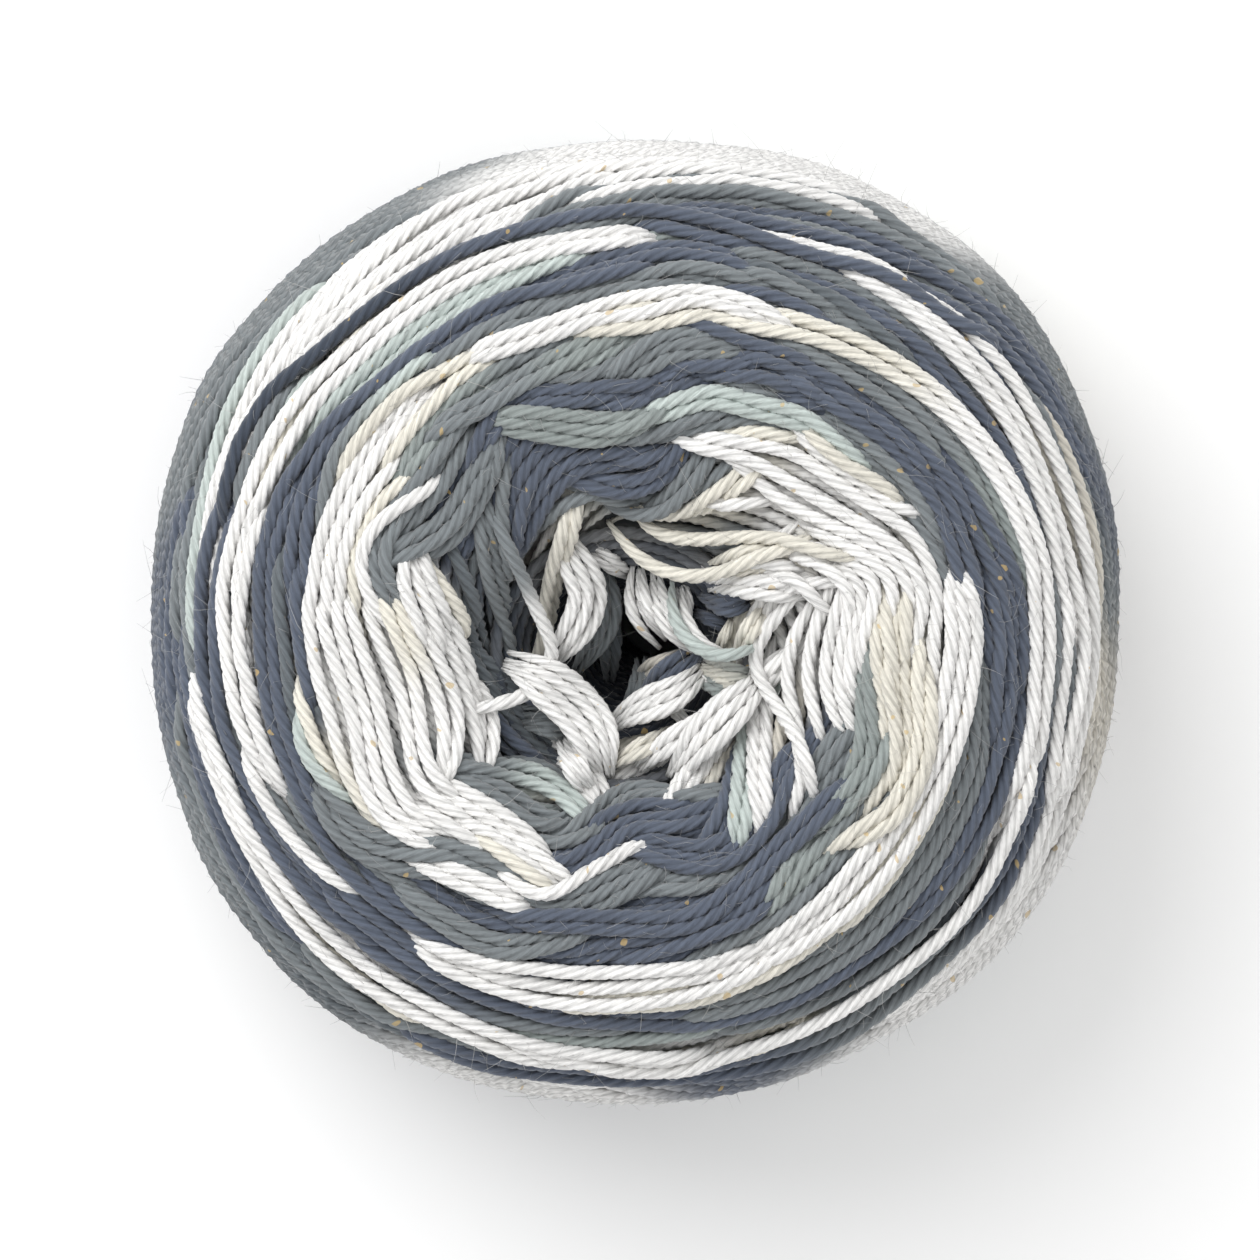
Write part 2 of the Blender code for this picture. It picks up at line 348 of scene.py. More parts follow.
OUTER_TOP = (
    ("white", 2, 0.3, "56,65.2 68,62.7 80,60.8 92,58.9 104,57 114,55.8"),
    ("white", 2, 0.5, "66,64.8 78,63 90,61 102,59.5 114,57.8 126,56.8 140,57.2"),
    ("white", 2, 0.3, "78,64.6 90,63.3 104,62 118,60.4 132,59 146,58.2 158,58"),
    ("white", 2, 0, "92,64 106,63.4 120,62.7 134,61.4 148,60.2 160,59 172,58.6"),
    ("grey", 1, 0.3, "57,63.8 63,62.8 70,61.4 77,60.3 83,60"),
    ("slate", 2, 0, "70,50.6 80,50.7 90,49.7 100,48.3 110,46.8 120,45.8 126,46"),
    ("grey", 1, 0, "60,50.2 70,48.9 80,48.4 90,47.3 100,45.8 110,44.6 120,44 130,44.8"),
    ("grey", 1, 0, "63,47 73,46.6 83,46.6 93,45.5 103,43.8 113,42.8"),
    ("grey", 1, 0, "105,43.6 113,43 123,44 133,45"),
    ("white", 2, 1, "68,44.4 75,44.8 80,44.4 85,43.2 90,42.3 98,41.1 106,40.6 114,41"),
    ("grey>sage@90", 4, 0, "75,39.3 85,38 93,36.2 103,34.5"),
    ("sage>grey@110", 2, 0.4, "88,40.8 93,39.7 98,38.2 103,37 108,36.2 113,36 118,35.5 123,35.5 128,36"
     " 133,36.5"),
    ("grey>sage@120", 2, 0.2, "103,38.5 113,38 118,38.3 123,37.8 137,37.2 143,37"),
    ("sage", 1, 0, "84,53.4 93,53.3 100,53.4"),
    ("white", 2, 0.5, "92,52 104,51.8 118,51.8 132,52 146,53 160,54 174,55 183,54.2 193,53.9 200,53.3"),
    ("white", 1, 0.7, "166,52.6 174,53.1 182,53 190,52.6"),
    ("cream", 1, 0, "130,53.7 143,54.4 153,54.9 160,55"),
    ("mint", 2, 0, "103,49.8 113,48.9 123,48.5 133,48.9 143,49.8"),
    ("slate", 1, 0.2, "88,48.2 113,46.9 123,46.7 133,47.3 143,48.4 153,49.9 163,50.8 172,50.9 182,50.8"
     " 188,51 198,51 208,51.2 218,51.5 228,51.2 233,50.8 243,50 253,48.8 263,47.2"),
    ("slate", 1, 0, "140,47 150,48 160,48.3 170,47.8 180,47"),
    ("slate", 1, 0, "150,47 160,46.5 170,45.8 180,45.5"),
    ("slate", 1, 0, "158,49.9 168,50.1 178,49.5 188,49.6 198,49.5 208,49.2 218,50"),
    ("dark", 1, 0, "170,48.6 178,47.5 188,47.3 196,47.8"),
    ("slate", 1, 0, "172,46.4 178,45.5 188,45.8 194,46.5"),
    ("mint>grey@142", 1, 0.2, "128,45.2 138,45.9 146,46.6 153,46 163,45"),
)
OUTER_LEFT = (
    ("grey", 2, 0, "120,65 133,65.3 148,65.5 163,65.2"),
    ("grey", 1, 0, "133,64 148,63.8 163,63.6 182,63"),
    ("mint", 1, 0.2, "133,62.9 143,62.7 153,62.3 158,61.5 168,60.5 182,60"),
    ("slate", 2, 0.2, "158,57.3 168,57.3 178,58.2 188,58.4 198,58 208,57 218,56.3 228,56"),
    ("grey", 1, 0.3, "146,56.9 153,56.8 163,55.9"),
    ("mint", 1, 0, "143,55.6 153,55.5 158,55.3"),
    ("slate", 3, 0, "166,64.2 176,63.8 183,63.4 193,62.8 203,62.2 213,62.9 221,63"),
    ("grey", 1, 0, "188,64.4 196,64.6 208,65.1 218,65.3 228,65 238,64.6"),
    ("grey", 1, 0, "165,62 172,61.8 178,61.5 186,61 194,60.4 200,60"),
    ("white", 2, 0.7, "192,60 200,59.4 210,59.3 220,60 230,60 240,59.4 250,59.1 260,59.2 275,59.3"),
    ("white", 1, 0.7, "255,59.2 262,59.3 275,59.8 293,59.6 313,59.1 323,58.7 328,58 333,57.3 338,56.6"
     " 344,55.9"),
    ("cream", 1, 0, "220,61.6 228,61.6 236,61.4 243,61"),
    ("cream", 1, 0.2, "274,60.6 281,60.5 290,60.3"),
    ("grey>slate@208>grey@248", 1, 0, "190,57.2 198,56.6 208,56.4 218,56 228,56.5 243,57 248,57.5 253,57"
     " 258,56.5 268,55.6"),
    ("white", 1, 0.8, "200,55.3 205,55.2 210,54.9 215,54.3 222,53.1"),
    ("grey", 2, 0, "193,55.3 198,54.5 203,53.8 208,53.5 213,53.2 223,52.5"),
    ("mint", 1, 0.5, "196,47.2 200,48 204,47.8 208,46.8 211,46.2"),
    ("cream", 1, 0.2, "192,46.2 198,46.7 205,46.3"),
    ("grey", 2, 0, "208,48 213,47.6 218,48.3 223,48.6 228,48.2 233,47.6"),
    ("grey", 3, 0.4, "214,47.8 218,47.5 223,45.8 228,42.3 233,40.2 238,39 243,39 248,40 253,40.8 257,40"
     " 261,38 265,36 270,34.5"),
)
OUTER_BOTTOM = (
    ("dark", 2, 0, "223,64.8 233,64.5 243,63.9 250,63.6"),
    ("white", 1, 0, "244,65 250,65 256,64.7 262,64.1 267,63.8"),
    ("grey", 2, 0, "228,62.9 233,62.8 238,62.2 243,61.7 248,61.1 254,60.8"),
    ("slate>grey@292>slate@318>grey@345", 2, 0.2, "243,63.2 253,62.8 263,62.1 272,61.9 282,62.1 290,62.6"
     " 294,63 300,62.4 308,61.5 316,61.3 323,61.3 328,60.7 333,60 338,59.4 343,59 348,58.7 353,58.5"
     " 358,57.6 363,56.8"),
    ("sage", 1, 0, "253,58.6 263,58 273,56.8 283,56.3"),
    ("slate", 1, 0.2, "223,55.3 233,55 243,55.2 253,55 263,54.3 273,55 283,55.2 293,55.6 303,55.2 313,55.2"
     " 323,55.4 333,55.2 338,54.8 343,54.2 348,53.5"),
    ("slate", 1, 0, "223,53.2 233,53.3 243,53.2 253,53.2 263,53.6 273,53.3 283,54"),
    ("slate", 1, 0, "306,54 313,54 323,53.8 333,53.2 343,52.3 353,51.3"),
    ("slate", 3, 0, "345,51.5 352,50.6 358,50.2 366,49.6"),
    ("white", 3, 0.8, "240,51.8 250,50.8 260,50 270,49 280,48.6 287,48.2"),
    ("cream", 2, 0.4, "262,52.2 272,51.3 282,50.4 292,49.2 302,48.4"),
    ("grey", 2, 0.6, "233,47.8 243,47.9 246,48.1 249,47.5 252,46 255,44.3 259,42.2"),
    ("slate", 1, 0, "226,47 234,46.6 240,46 246,45 252,43.6 258,42.5"),
    ("slate", 1, 0, "223,49.4 233,49 243,49 253,48.3"),
    ("slate", 3, 0, "251,47.3 256,46.3 261,45 266,43.8 271,43.2 278,43.2 284,42.8 290,42 296,40.5"),
    ("slate", 2, 0.5, "253,42 258,41.3 263,40.8 268,40.6 273,41 278,41.5 283,41.3 288,40 293,38.8"
     " 298,37.5 303,36.6 308,36.3 318,36.3"),
    ("grey", 1, 0, "228,43.5 238,43 243,42.6 248,41.6"),
    ("white", 2, 0.4, "228,42.7 233,41.6 238,41 247,41"),
    ("grey", 1, 0, "284,57 293,57.5 303,57.6 313,57.5 323,56.7 328,56.3"),
    ("grey", 3, 0, "280,52.8 288,52.9 298,52.3 308,52 318,51.3 323,50.7 333,50 338,49.5 343,48.5 348,47.5"
     " 353,47"),
    ("white", 3, 0.8, "294,47.6 302,46.9 310,46.2 318,45.3 328,44.9 338,44.7 348,44.4 358,44.6 363,44.2"),
    ("cream", 2, 0.3, "306,49 314,48.5 322,47.8 330,47.2 336,46.5"),
    ("cream", 1, 0, "286,47.9 292,47.3 297,47"),
    ("grey", 2, 0, "278,46.9 288,46 298,44.7 308,43.3 320,43.2"),
    ("slate", 2, 0, "268,46 273,45.5 278,45 283,44.5 288,43.5 294,42.3"),
    ("sage>grey@312", 3, 0, "296,42.3 302,40.5 308,39.6 314,39.4 320,39.6 328,39.4"),
    ("slate", 2, 0, "268,38.5 273,38.2 278,38.6 288,38.6"),
    ("white", 1, 0.3, "326,62.3 334,61.2 342,60.7 350,60.4 357,59.8 362,58.8"),
    ("white", 2, 0, "304,64.8 316,64 328,63.2 340,62.4 352,62.2 362,61.6"),
    ("white", 1, 0, "316,65.5 330,64.7 344,63.8 356,63.4"),
    ("cream", 2, 0.9, "318,42.3 323,43.7 328,43.7 333,43.2 338,42 343,41 348,39.8"),
    ("grey", 1, 0.2, "316,41.5 324,42.4 332,41.7 340,40"),
    ("cream", 2, 0.5, "328,39.3 333,39 338,37.5 343,36 348,34.6 355,33.8"),
    ("cream", 2, 0.7, "333,40 338,39 343,37.3 348,35.5 353,34.9 358,35.4"),
    ("sage", 2, 0.4, "313,36.8 320,37.8 328,38.3 333,37.8 338,36.3 343,34.7 349,33.4 355,33"),
    ("sage", 2, 0.2, "318,36.6 325,36.8 332,36.3 338,34.8 343,33 349,32 355,31.8"),
    ("grey", 2, 0, "313,33.5 320,33 328,33 333,34 337,34.3"),
    ("grey", 1, 0, "322,30.5 328,30.6 333,31.6 337,32.6"),
)
LEFT_MASS = (
    ("cream", 1, 0.3, "113,41.6 123,42.4 133,43.2 143,43.8 153,44.2"),
    ("cream", 1, 0.3, "116,41 126,40.6 136,39.6 146,39"),
    ("white>cream@205", 1, 0.3, "133,43 148,43.8 163,43.8 178,43.3 188,43.6 198,43 208,44.4 218,44.8"
     " 224,43.6"),
    ("white", 1, 0.3, "133,41.3 145,41.3 157,42 168,42 178,41.5"),
    ("white", 1, 0.2, "146,39 153,39.8 160,40.3 170,40.5 178,40"),
    ("cream", 1, 0.2, "138,35.8 143,35.8 148,36.6 153,37.7 158,38.6 163,39.2 170,39 178,38.2"),
    ("white", 1, 0.5, "147,33.3 153,35 158,36.6 163,37.8 168,37.7 173,35.8 177,33.6 181,31.8"),
    ("white", 1, 0.4, "178,42.5 188,41 198,40 203,41 208,42.3 213,43.2 218,43.6 223,42.8 228,41.5"),
    ("white", 1, 0.4, "178,40.3 188,38.8 198,38 203,38.5 208,39.8 213,41 218,41.6 223,41 228,40"),
    ("white", 1, 0.5, "178,38.3 186,37 194,36.2 200,36.5 206,37.5 212,38.8 218,39.5 224,39 230,37.8"),
    ("white", 1, 0.5, "178,36 184,34.5 190,33.5 198,32.8 204,33.5 210,35 216,36.6 222,36.4 228,35.2"),
    ("cream>white@194", 1, 0.6, "178,33.5 184,31.8 190,30.9 198,31 204,31.8 210,33.3 216,34.3 222,34"),
    ("cream>white@192", 1, 0.6, "178,31.5 186,29.5 194,28.6 202,28.4 208,29 214,30.5 218,32"),
    ("white", 1, 0.6, "178,29.5 186,27.6 194,26.5 202,26.4 208,27 213,28.5 217,31"),
    ("white", 1, 0.6, "178,27 186,25.6 194,24.7 202,24.8 208,25.4 214,26.4 220,27.6"),
    ("white", 1, 0.6, "178,25 186,23.4 194,22.8 200,23.1 206,24 212,24.9 218,26"),
    ("white", 1, 0.8, "203,22.8 208,22.4 213,22.9 218,24.6 222,26.4"),
    ("white", 1, 0.4, "223,38.5 230,37.4 238,37 245,37.6 250,38.4"),
    ("white", 1, 0.4, "223,36.5 230,35.3 238,35 245,35.8 250,36.8 254,37.3"),
    ("white", 1, 0.4, "223,34.5 230,33.3 238,33 244,33.6 250,34.9 255,36.3"),
    ("white", 1, 0.4, "223,32.5 230,31.6 236,31.1 242,31.8 248,33.2"),
    ("cream", 1, 0.6, "235,36 240,36.3 246,37.2 252,38.2"),
    ("white", 1, 0.8, "243,37.9 248,38.7 252,39.2 255,38.5 257,37 259,35.5 261,33.5 264,31.8 270,30.5"),
    ("white", 1, 0.9, "165,32.5 170,32.5 176,31 183,29.3"),
    ("white", 1, 0.9, "165,30.8 170,30 176,28.3 183,27"),
    ("white", 1, 0.9, "165,29.3 170,28 175,26.3 180,25"),
    ("cream", 1, 0.8, "168,27.8 173,25.8 178,23.9 183,23"),
)
INNER_TOP = (
    ("slate", 3, 0, "53,39 58,38.7 63,37.8 68,36.3 73,35 78,33.5 83,31.6 88,30.4"),
    ("grey", 3, 0.2, "73,38.8 78,38.5 83,37.8 88,36 92,34.2"),
    ("mint", 2, 0.4, "41,36.4 48,35.8 53,34.9 58,34.2 63,33.5 68,32.8 73,31.7 78,30.3 83,28.7"),
    ("grey", 1, 0, "52,33.5 58,32 63,30.2 68,28.2 73,26.2 78,24.9 88,24.4"),
    ("grey", 1, 0.2, "63,32.6 68,30.6 73,28.6 78,26.7 83,25.4 92,25"),
    ("grey", 1, 0, "72,30.5 77,29.5 82,27.6 87,26.2 93,25.4"),
    ("grey", 1, 0, "78,30 83,28.9 88,27.6 93,26.7 98,26.3"),
    ("grey", 1, 0.2, "88,37 93,35 98,33.2 103,32.8 108,34 113,34.8 118,34.8"),
    ("slate", 2, 0.2, "88,31.5 93,30.8 98,31 103,31.5 108,32.5 113,33.6 118,33.8 123,33 128,32 133,30.8"),
    ("slate", 2, 0, "88,29.5 93,28.8 98,28.8 103,29.3 108,30.3 113,31.5 118,32.5"),
    ("sage", 3, 0.7, "88,27.3 93,26.2 98,26 103,26.4 108,27.6 113,29.4 118,31.2 120.5,31.8"),
    ("slate", 2, 0, "118,29.5 123,29 128,28 133,26.6 138,25.6 143,25 150,24.7"),
    ("slate", 2, 0, "113,25.8 118,26 123,25.4 128,24 133,22.7 140,21 148,19.5"),
    ("slate", 2, 0, "88,21.8 98,21.7 108,22.4 113,22.4 118,21.8 128,20.8 138,19.4 146,18.5"),
    ("slate", 2, 0, "76,22 78,20 81,18.6 86,17.6 93,17.3 98,17.6 103,18.5 108,19.5"),
    ("grey", 1, 0, "98,15.5 103,16.3 108,17.8 113,19.4"),
    ("grey", 1, 0, "113,18 118,18.8 123,18.5 128,18 133,17"),
    ("grey", 2, 0.4, "133,35.3 140,34.4 147,34 152,34.7 158,35.8 163,36 168,35.6 173,34.3 176,32.8"),
    ("grey", 1, 0.2, "133,33.8 140,32.5 146,31.7 152,32.4 158,33.6 164,34.4 169,34.1"),
    ("deep", 1, 0, "133,31.3 138,30.6 143,30 148,30"),
    ("grey", 2, 0.5, "136,29 142,28.4 148,28.2 153,28.6 158,30 162,32 164,33.5"),
    ("grey", 2, 0.4, "133,29 140,27.4 147,26.5 153,26.5 158,27.7 162,30"),
    ("grey", 1, 0, "133,26 138,24.5 143,22.5 148,20.5 153,19 158,18"),
    ("grey", 1, 0.1, "143,25 148,23 153,21 158,19.5 163,18.3 170,17"),
    ("grey", 1, 0.2, "148,24.5 153,23 158,21.2 163,20 168,19 178,17.5 190,16.4 198,16.6"),
    ("dark", 1, 0, "158,25.8 163,24 168,22.6 173,21.2 178,20.4"),
)
RIGHT_MASS = (
    ("white", 1, 0.4, "336,32.5 339,31 343,29.5 348,28.5 353,28.3 358,28.8 363,29.6 368,30.2 372,29"
     " 376,27.5 380,26 383,24"),
    ("white", 1, 0.4, "333,31 336,29 340,27 345,26.3 351,26 358,26.6 363,27.4 369,28.6"),
    ("white", 1, 0.4, "329,29 333,27.5 337,25.5 342,24.3 348,23.8 355,24 360,24.8 366,25.8"),
    ("white", 1, 0.4, "314,32 318,30.5 322,28.8 326,27 330,25 334,23 339,21.8 345,21.3 352,21.2 358,22"),
    ("white", 1, 1.4, "318,32 321,30 325,28 328,25.5 331,22.5 335,20 340,18.3 345,17.5 350,17.2 355,17.6"
     " 359,18.5 363,19.5"),
    ("white", 2, 0.6, "306,29.3 310,26.5 314,24.8 319,22.6 326,20.6 333,19.2"),
    ("ecru", 1, 0.2, "313,26.8 318,25.3 323,23.5 328,22.5"),
    ("white", 1, 0.3, "342,31 346,30 351,29.8 357,30.3 363,31 368,31.4 372,30.4 375,28.8 378,27 382,25.2"),
    ("white", 1, 0.3, "351,31.8 358,32 363,33 368,33.8 372,33 375,31 378,28.5 381,26.5 384,24.5 386,22.5"),
    ("white", 1, 0.3, "350,33.8 358,34 363,35.3 368,36 372,35 375,33 378,31 381,29 384,27.5"),
    ("white", 1, 0.3, "348,36.5 353,36 358,36.6 363,37.1 368,37.7 373,36.5 378,33.5 383,31 388,28.8 393,27"
     " 398,25.8 403,25.2 410,25 420,25.1"),
    ("white", 1, 0.4, "343,40 348,38.3 353,37.8 358,38.5 363,39.3 368,39.3 373,38.1 378,35.6 383,33.6"
     " 388,31.6 393,30.1 398,29 410,27.3 420,26.4 432,25.4"),
    ("white", 1, 0.4, "343,42.5 348,40.7 353,40 358,40.5 363,41.1 368,41.3 373,41 378,39.4 383,36.6"
     " 388,34.6 393,33.3 398,32.5 403,32 410,31 418,29.5 426,27"),
    ("white", 1, 0.2, "383,40 388,37.2 393,35.6 398,34.6 403,34 411,34"),
    ("cream", 1, 0.5, "26,39 30,38 35,36.3 40,35.3 47,34.8"),
    ("cream", 1, 0.3, "50,33 55,31.2 60,29.3 65,27.6 68,26.6"),
)
INNER_BOTTOM = (
    ("grey", 2, 0.3, "238,30.5 243,31.2 248,31.7 252,31.3 255,29.8 258,27.8 260,25.7 263,23.7 267,22.5"
     " 273,22 278,22.8 283,23.8 288,25.4 292,25.6"),
    ("grey", 2, 0.2, "226,30.3 233,29.4 240,30.2 247,30.2 252,29 255,27 257,25.2 260,23.6"),
    ("grey>mint@232", 2, 0.3, "223,28.5 228,26.6 233,25 238,24.2 243,24 248,24.9 252,26"),
    ("grey", 1, 0, "233,22.6 238,21.7 243,21.9 248,23"),
    ("dark", 3, 0, "213,19.5 223,19.8 233,19.4 243,19.5"),
    ("slate", 1, 0.2, "212,21.8 217,22 222,23 228,22.8 233,22.2"),
    ("slate", 1, 0, "213,18 218,17.4 226,17.2"),
    ("slate", 3, 0.2, "251,35 254,34.3 257,32.2 260,30 263,28 267,26.5 273,26.3 278,26.7 283,27.2 288,27"
     " 294,26.5"),
    ("slate", 2, 0, "268,29 273,28.3 278,29 283,30.3 288,30.6"),
    ("slate", 2, 0.2, "290,31.5 294,30.3 298,28 302,25.8 306,24"),
    ("slate", 2, 0, "268,25 273,24.6 278,25 283,25.5 288,26 293,26 298,25 303,24.3 308,23.5"),
    ("slate", 3, 0.4, "273,30.6 278,31.9 283,33.3 288,33.8 293,33.4 298,32.4 303,31 308,29.8 313,29"
     " 318,28.5"),
    ("grey", 2, 0.2, "257,39 262,37.5 267,35.7 273,34.6 278,35.5 283,36.6 288,36.3 293,35.6"),
    ("grey", 2, 0, "268,33.2 273,32.4 278,33.2 283,34.2"),
    ("mint", 2, 0.5, "298,31 301,29.5 304,27 307,24.7 311,22.8 316,21.5 322,20.6"),
)

# The slack loops round the mouth. They hang from edge to edge, and the lowest lie down in the throat.
MOUTH_LOOPS = (
    ("grey>white@162", 1, 2.4, "150,20 155,18.2 160,17 168,15.6 173,14.6 178,13.8 188,13.3 198,14 203,14.8"
     " 208,16.5 211,18.5 211,20 210,21.8"),
    ("cream", 1, 1.2, "19,28 22,26 26,24.2 30,22.7 33,21.3 38,19.5 43,17.8 48,16 53,14.8 58,14 63,13.5"
     " 68,13.1 78,12.8"),
    ("white", 2, 0.4, "350,14.5 358,15.5 364,17 369,18"),
    ("white", 1, 0.8, "12,25 14,22 13,19 13,16.5"),
    ("white", 1, 0.9, "8,25 13,24.5 18,22 22,20 24,17.5"),
    ("white", 1, 0.6, "15,22 18,19.5 22,17 24,15.5"),
    ("white", 1, 0.7, "28,22 26,19 25,16 27,14 31,12.5"),
    ("cream", 1, 0.5, "51,24 53,21 55.5,19 58,17.5"),
    ("cream", 1, 0.6, "56,23.5 58,21 60,18.5 63,16.5 68,15 74,14.5"),
    ("white", 1, 0.6, "44,23 48,22 53,20"),
    ("grey", 1, 0.5, "60,23 62,21 65,18.5"),
    ("grey", 1, 0.6, "65,23.5 66,21 69,18 73,16 78,14.8 88,14.3"),
    ("grey", 1, 0.4, "70,22 72,19 75,16.5 80,15"),
    ("slate", 1, 0.3, "84,22.3 88,21.5 94,21.2"),
    ("grey", 1, -0.5, "31,19 35,16 40,14 45,13"),
    ("cream", 2, 1.5, "133,15 143,14.1 153,13.6 163,13.5 170,13"),
    ("cream", 1, 0.3, "118,16.5 123,15 128,13.8 133,13"),
    ("white", 1, 1, "243,20.3 248,21.4 253,22.6 256,24"),
    ("white", 1, 1, "246,19.5 251,20.3 255,21.6"),
    ("white", 1, 0.9, "244,21 249,22.7 254,23.8"),
    ("cream", 2, 0.4, "258,19 263,18 268,17.3 273,16.8"),
    ("white", 3, 0.6, "287,23 292,21.6 297,20.4 303,19.2 310,18.4 318,17.9 325,18 332,18.5"),
    ("white", 2, 0.4, "270,19.5 277,19 284,17.9 291,17 298,16.6 306,16.5"),
    ("cream", 1, 0.5, "293,25 298,23.7 303,22 308,21"),
    ("cream", 1, 0.3, "328,12.3 332,14.2 336,16.3"),
    ("cream", 1, 0.3, "343,13.5 348,12.8 353,13 358,13.8 363,14.8"),
)

# The strands that cross the mouth and narrow it to a slit: dye, strands, height over the bowl that they
# lie in, and the middle as 'across,up' in millimetres in the reading plane.
HOLE_LOOPS = (
    ("white", 3, 1.5, "-10,12.6 -9.3,10.7 -8.9,8.6 -6.4,5.9 -5.7,3.3 -7.3,-0.5 -9.9,-4.3 -11.6,-5.8"),
    ("white", 2, 1, "-7.5,10.5 -4.7,9 -2.2,7.3 -0.4,6.1"),
    # painted shade: this grey lock turns deep slate where it drops into the slit
    ("grey>deep@200", 3, -3, "-5,9 -4.3,5.6 -3.5,2 -4.4,-1.6 -6,-4.2 -7.8,-6.6"),
    ("dark", 2, -6, "-2.9,4 -3.6,0 -3.2,-4 -3.4,-8"),
    ("white", 3, 1.5, "0.5,7.6 0,5.4 0.4,2.4 1.8,-0.8 4,-2.6"),
    ("white", 2, 1, "3,6.6 2.6,4.4 3.3,1.6 5.2,-1.8 8,-4.2"),
    ("mint", 1, 2.5, "5.2,5.4 4.7,3.6 4.6,1.3 6,-1.7 9,-4.5 12,-5.3 15,-4.3 17.5,-3"),
    ("mint>white@-40", 1, 2, "6.4,4.6 6,2.5 6.4,0 8,-2.6 10.5,-4 13.4,-4.2"),
    ("white", 2, -1, "6.2,4.8 7.2,3.4 7.4,1.2 6.6,-0.8"),
    ("slate", 2, -1, "8.2,1.4 10.6,0.2 13,-1"),
    ("slate", 2, 0, "8.9,3.4 12,1.2 14.4,1.6 16.5,3"),
    ("slate", 2, 0, "9.5,5.8 12,3.6 15,3.4 17,4.6"),
    ("cream", 2, 1, "13.2,0.4 12.4,-1.2 11.6,-3.4"),
    ("cream", 2, 1.5, "18.4,2.6 16.4,0.6 14.6,-2.2 13.8,-4.4"),
    ("cream>sage@-30", 3, 0.5, "9.2,-5.6 11.4,-7.4 14,-8 17,-7.6"),
    ("sage", 2, 0, "8.4,-7.2 10.6,-8.8 13,-9.6 16,-9.4"),
    ("slate", 3, -1.5, "0.6,-11 2.6,-9.2 5,-7.3 7.9,-5 9.4,-3.4"),
    ("ecru", 2, -2.5, "0.4,-7.4 2,-5.8 4.6,-5 6.6,-4.2"),
    ("grey", 2, -4, "-1.4,-12 0,-10 1.2,-7.6 1,-5"),
    ("white", 3, 1.5, "-3.4,-14.6 -1.2,-12.4 1.6,-11.2 4.4,-10.6 7.2,-8.8 9.4,-6.6"),
    ("white", 2, 1.2, "4.6,-10.8 6.4,-12.4 7.2,-14.6"),
    ("white", 2, 1.2, "8.4,-6.8 9.8,-9 11.8,-10.2"),
    ("cream", 2, 0.8, "-3.6,-19.6 -1,-17.8 2.4,-16.2 5.6,-14.6"),
    ("white", 2, 1.6, "0.4,-19.8 2.4,-18 5,-16.4 8.6,-14.4 12.6,-11.6 15.7,-9.2"),
    ("white", 3, 1.8, "5,-21 6.4,-18.6 8.6,-16 12,-12.8 15.4,-9.8 17.6,-7.6"),
    ("cream", 1, 4, "-3.4,13.7 -1,10.2 2.1,7.7 5.5,6.3 8.6,6 12.6,6.8 16.3,8.7 20.4,10.2 27.7,11.3"),
    ("white", 3, 2.5, "10,5.2 12.6,5.6 16.3,6.2 22,5.6 25.6,3.4"),
    ("cream", 2, 2.5, "10,7.2 14,7.9 19.4,8.7 24,9 26.9,6.2"),
    ("white", 4, 1.5, "-17.4,-5.4 -14.6,-6.4 -11.4,-8.4 -8,-11.2 -5.2,-14.8 -4.2,-18.8 -4,-21"),
    ("white", 3, 1.6, "-9.6,-15.8 -8.4,-18.6 -7,-21.2 -5.8,-23.4"),
    ("grey", 4, -1, "-15.6,-13 -12.8,-12.6 -10,-13.6 -7.6,-15"),
    ("slate", 2, -1, "-16.4,-10.2 -13.6,-9.8 -11,-10.6 -8.4,-12"),
)


# Millimetres between the points of a line, and between the rings and the corners of a ring by piece.
LAY_STEP = 1.0
RING_STEP, FINE_SIDES = 0.95, 12
WALL_STEP, WALL_SIDES = 1.55, 8
ROUGH_STEP, ROUGH_SIDES = 1.5, 6

# How deep the middle of a strand lies: on top, for each step of a lock's lift, and in the turns beneath.
TOP_DEPTH = 0.7
LIFT_STEP = 1.5
BASE_DEPTH = 2.3

# Each lock draws together and dives under its neighbours at both ends, over a length drawn by chance.
DIVE = (7.0, 13.0)
SINGLE_DIVE = (4.5, 7.5)
DIVE_DEPTH = 4.2
CONVERGE, END_SPACING = 20.0, 0.18
END_TAPER, END_WIDTH = 9.0, 0.15

# The same for the loops of the mouth, which lie in a bowl round a slit.
LOOP_SPACING = 1.75
LOOP_CONVERGE, LOOP_END_SPACING = 6.0, 0.45
LOOP_DIVE, LOOP_DIVE_LENGTH = 7.0, 5.5
SLIT, SLIT_HALF, SLIT_EDGE = (-1.6, -2.0), 5.5, 2.0
BOWL_FLOOR, BOWL_RISE, BOWL_REACH, BOWL_CURVE = 62.0, 1.25, 14.0, 0.8

# The strands of a lock are drawn straight over dips: the loops of the mouth fully, the others a little.
LOCK_STRETCH, LOOP_STRETCH, STRETCH_SAG = 12, 400, 0.02

# Settling: the gap as a share of the strand, how far round is looked, the furthest push and the share of
# it taken at once, the shares of evening out and of going home, and how far a strand may sink.
SETTLE_ROUNDS, NEIGHBOUR_ROUNDS = 48, 8
SETTLE_GAP, SETTLE_LOOK = 0.9, 0.6
MOST_PUSH, PUSH_SHARE = 0.8, 0.35
EVEN_SHARE, HOME_SHARE, MOST_SINK = 0.3, 0.05, 0.8

# Degrees over which one dye turns into the next.
SHADE_CHANGE = 5.0


def dye_at(text, degrees):
    """The colour of a lock whose dye is written as 'grey>slate@14', at each of the angles."""
    dyes = settings().dye
    steps = text.split(">")
    colour = np.tile(np.array(getattr(dyes, steps[0])), (len(degrees), 1))
    for step in steps[1:]:
        name, place = step.split("@")
        share = 1 / (1 + np.exp(-(degrees - float(place)) / (SHADE_CHANGE / 2)))
        colour += share[:, None] * (np.array(getattr(dyes, name)) - colour)
    return colour


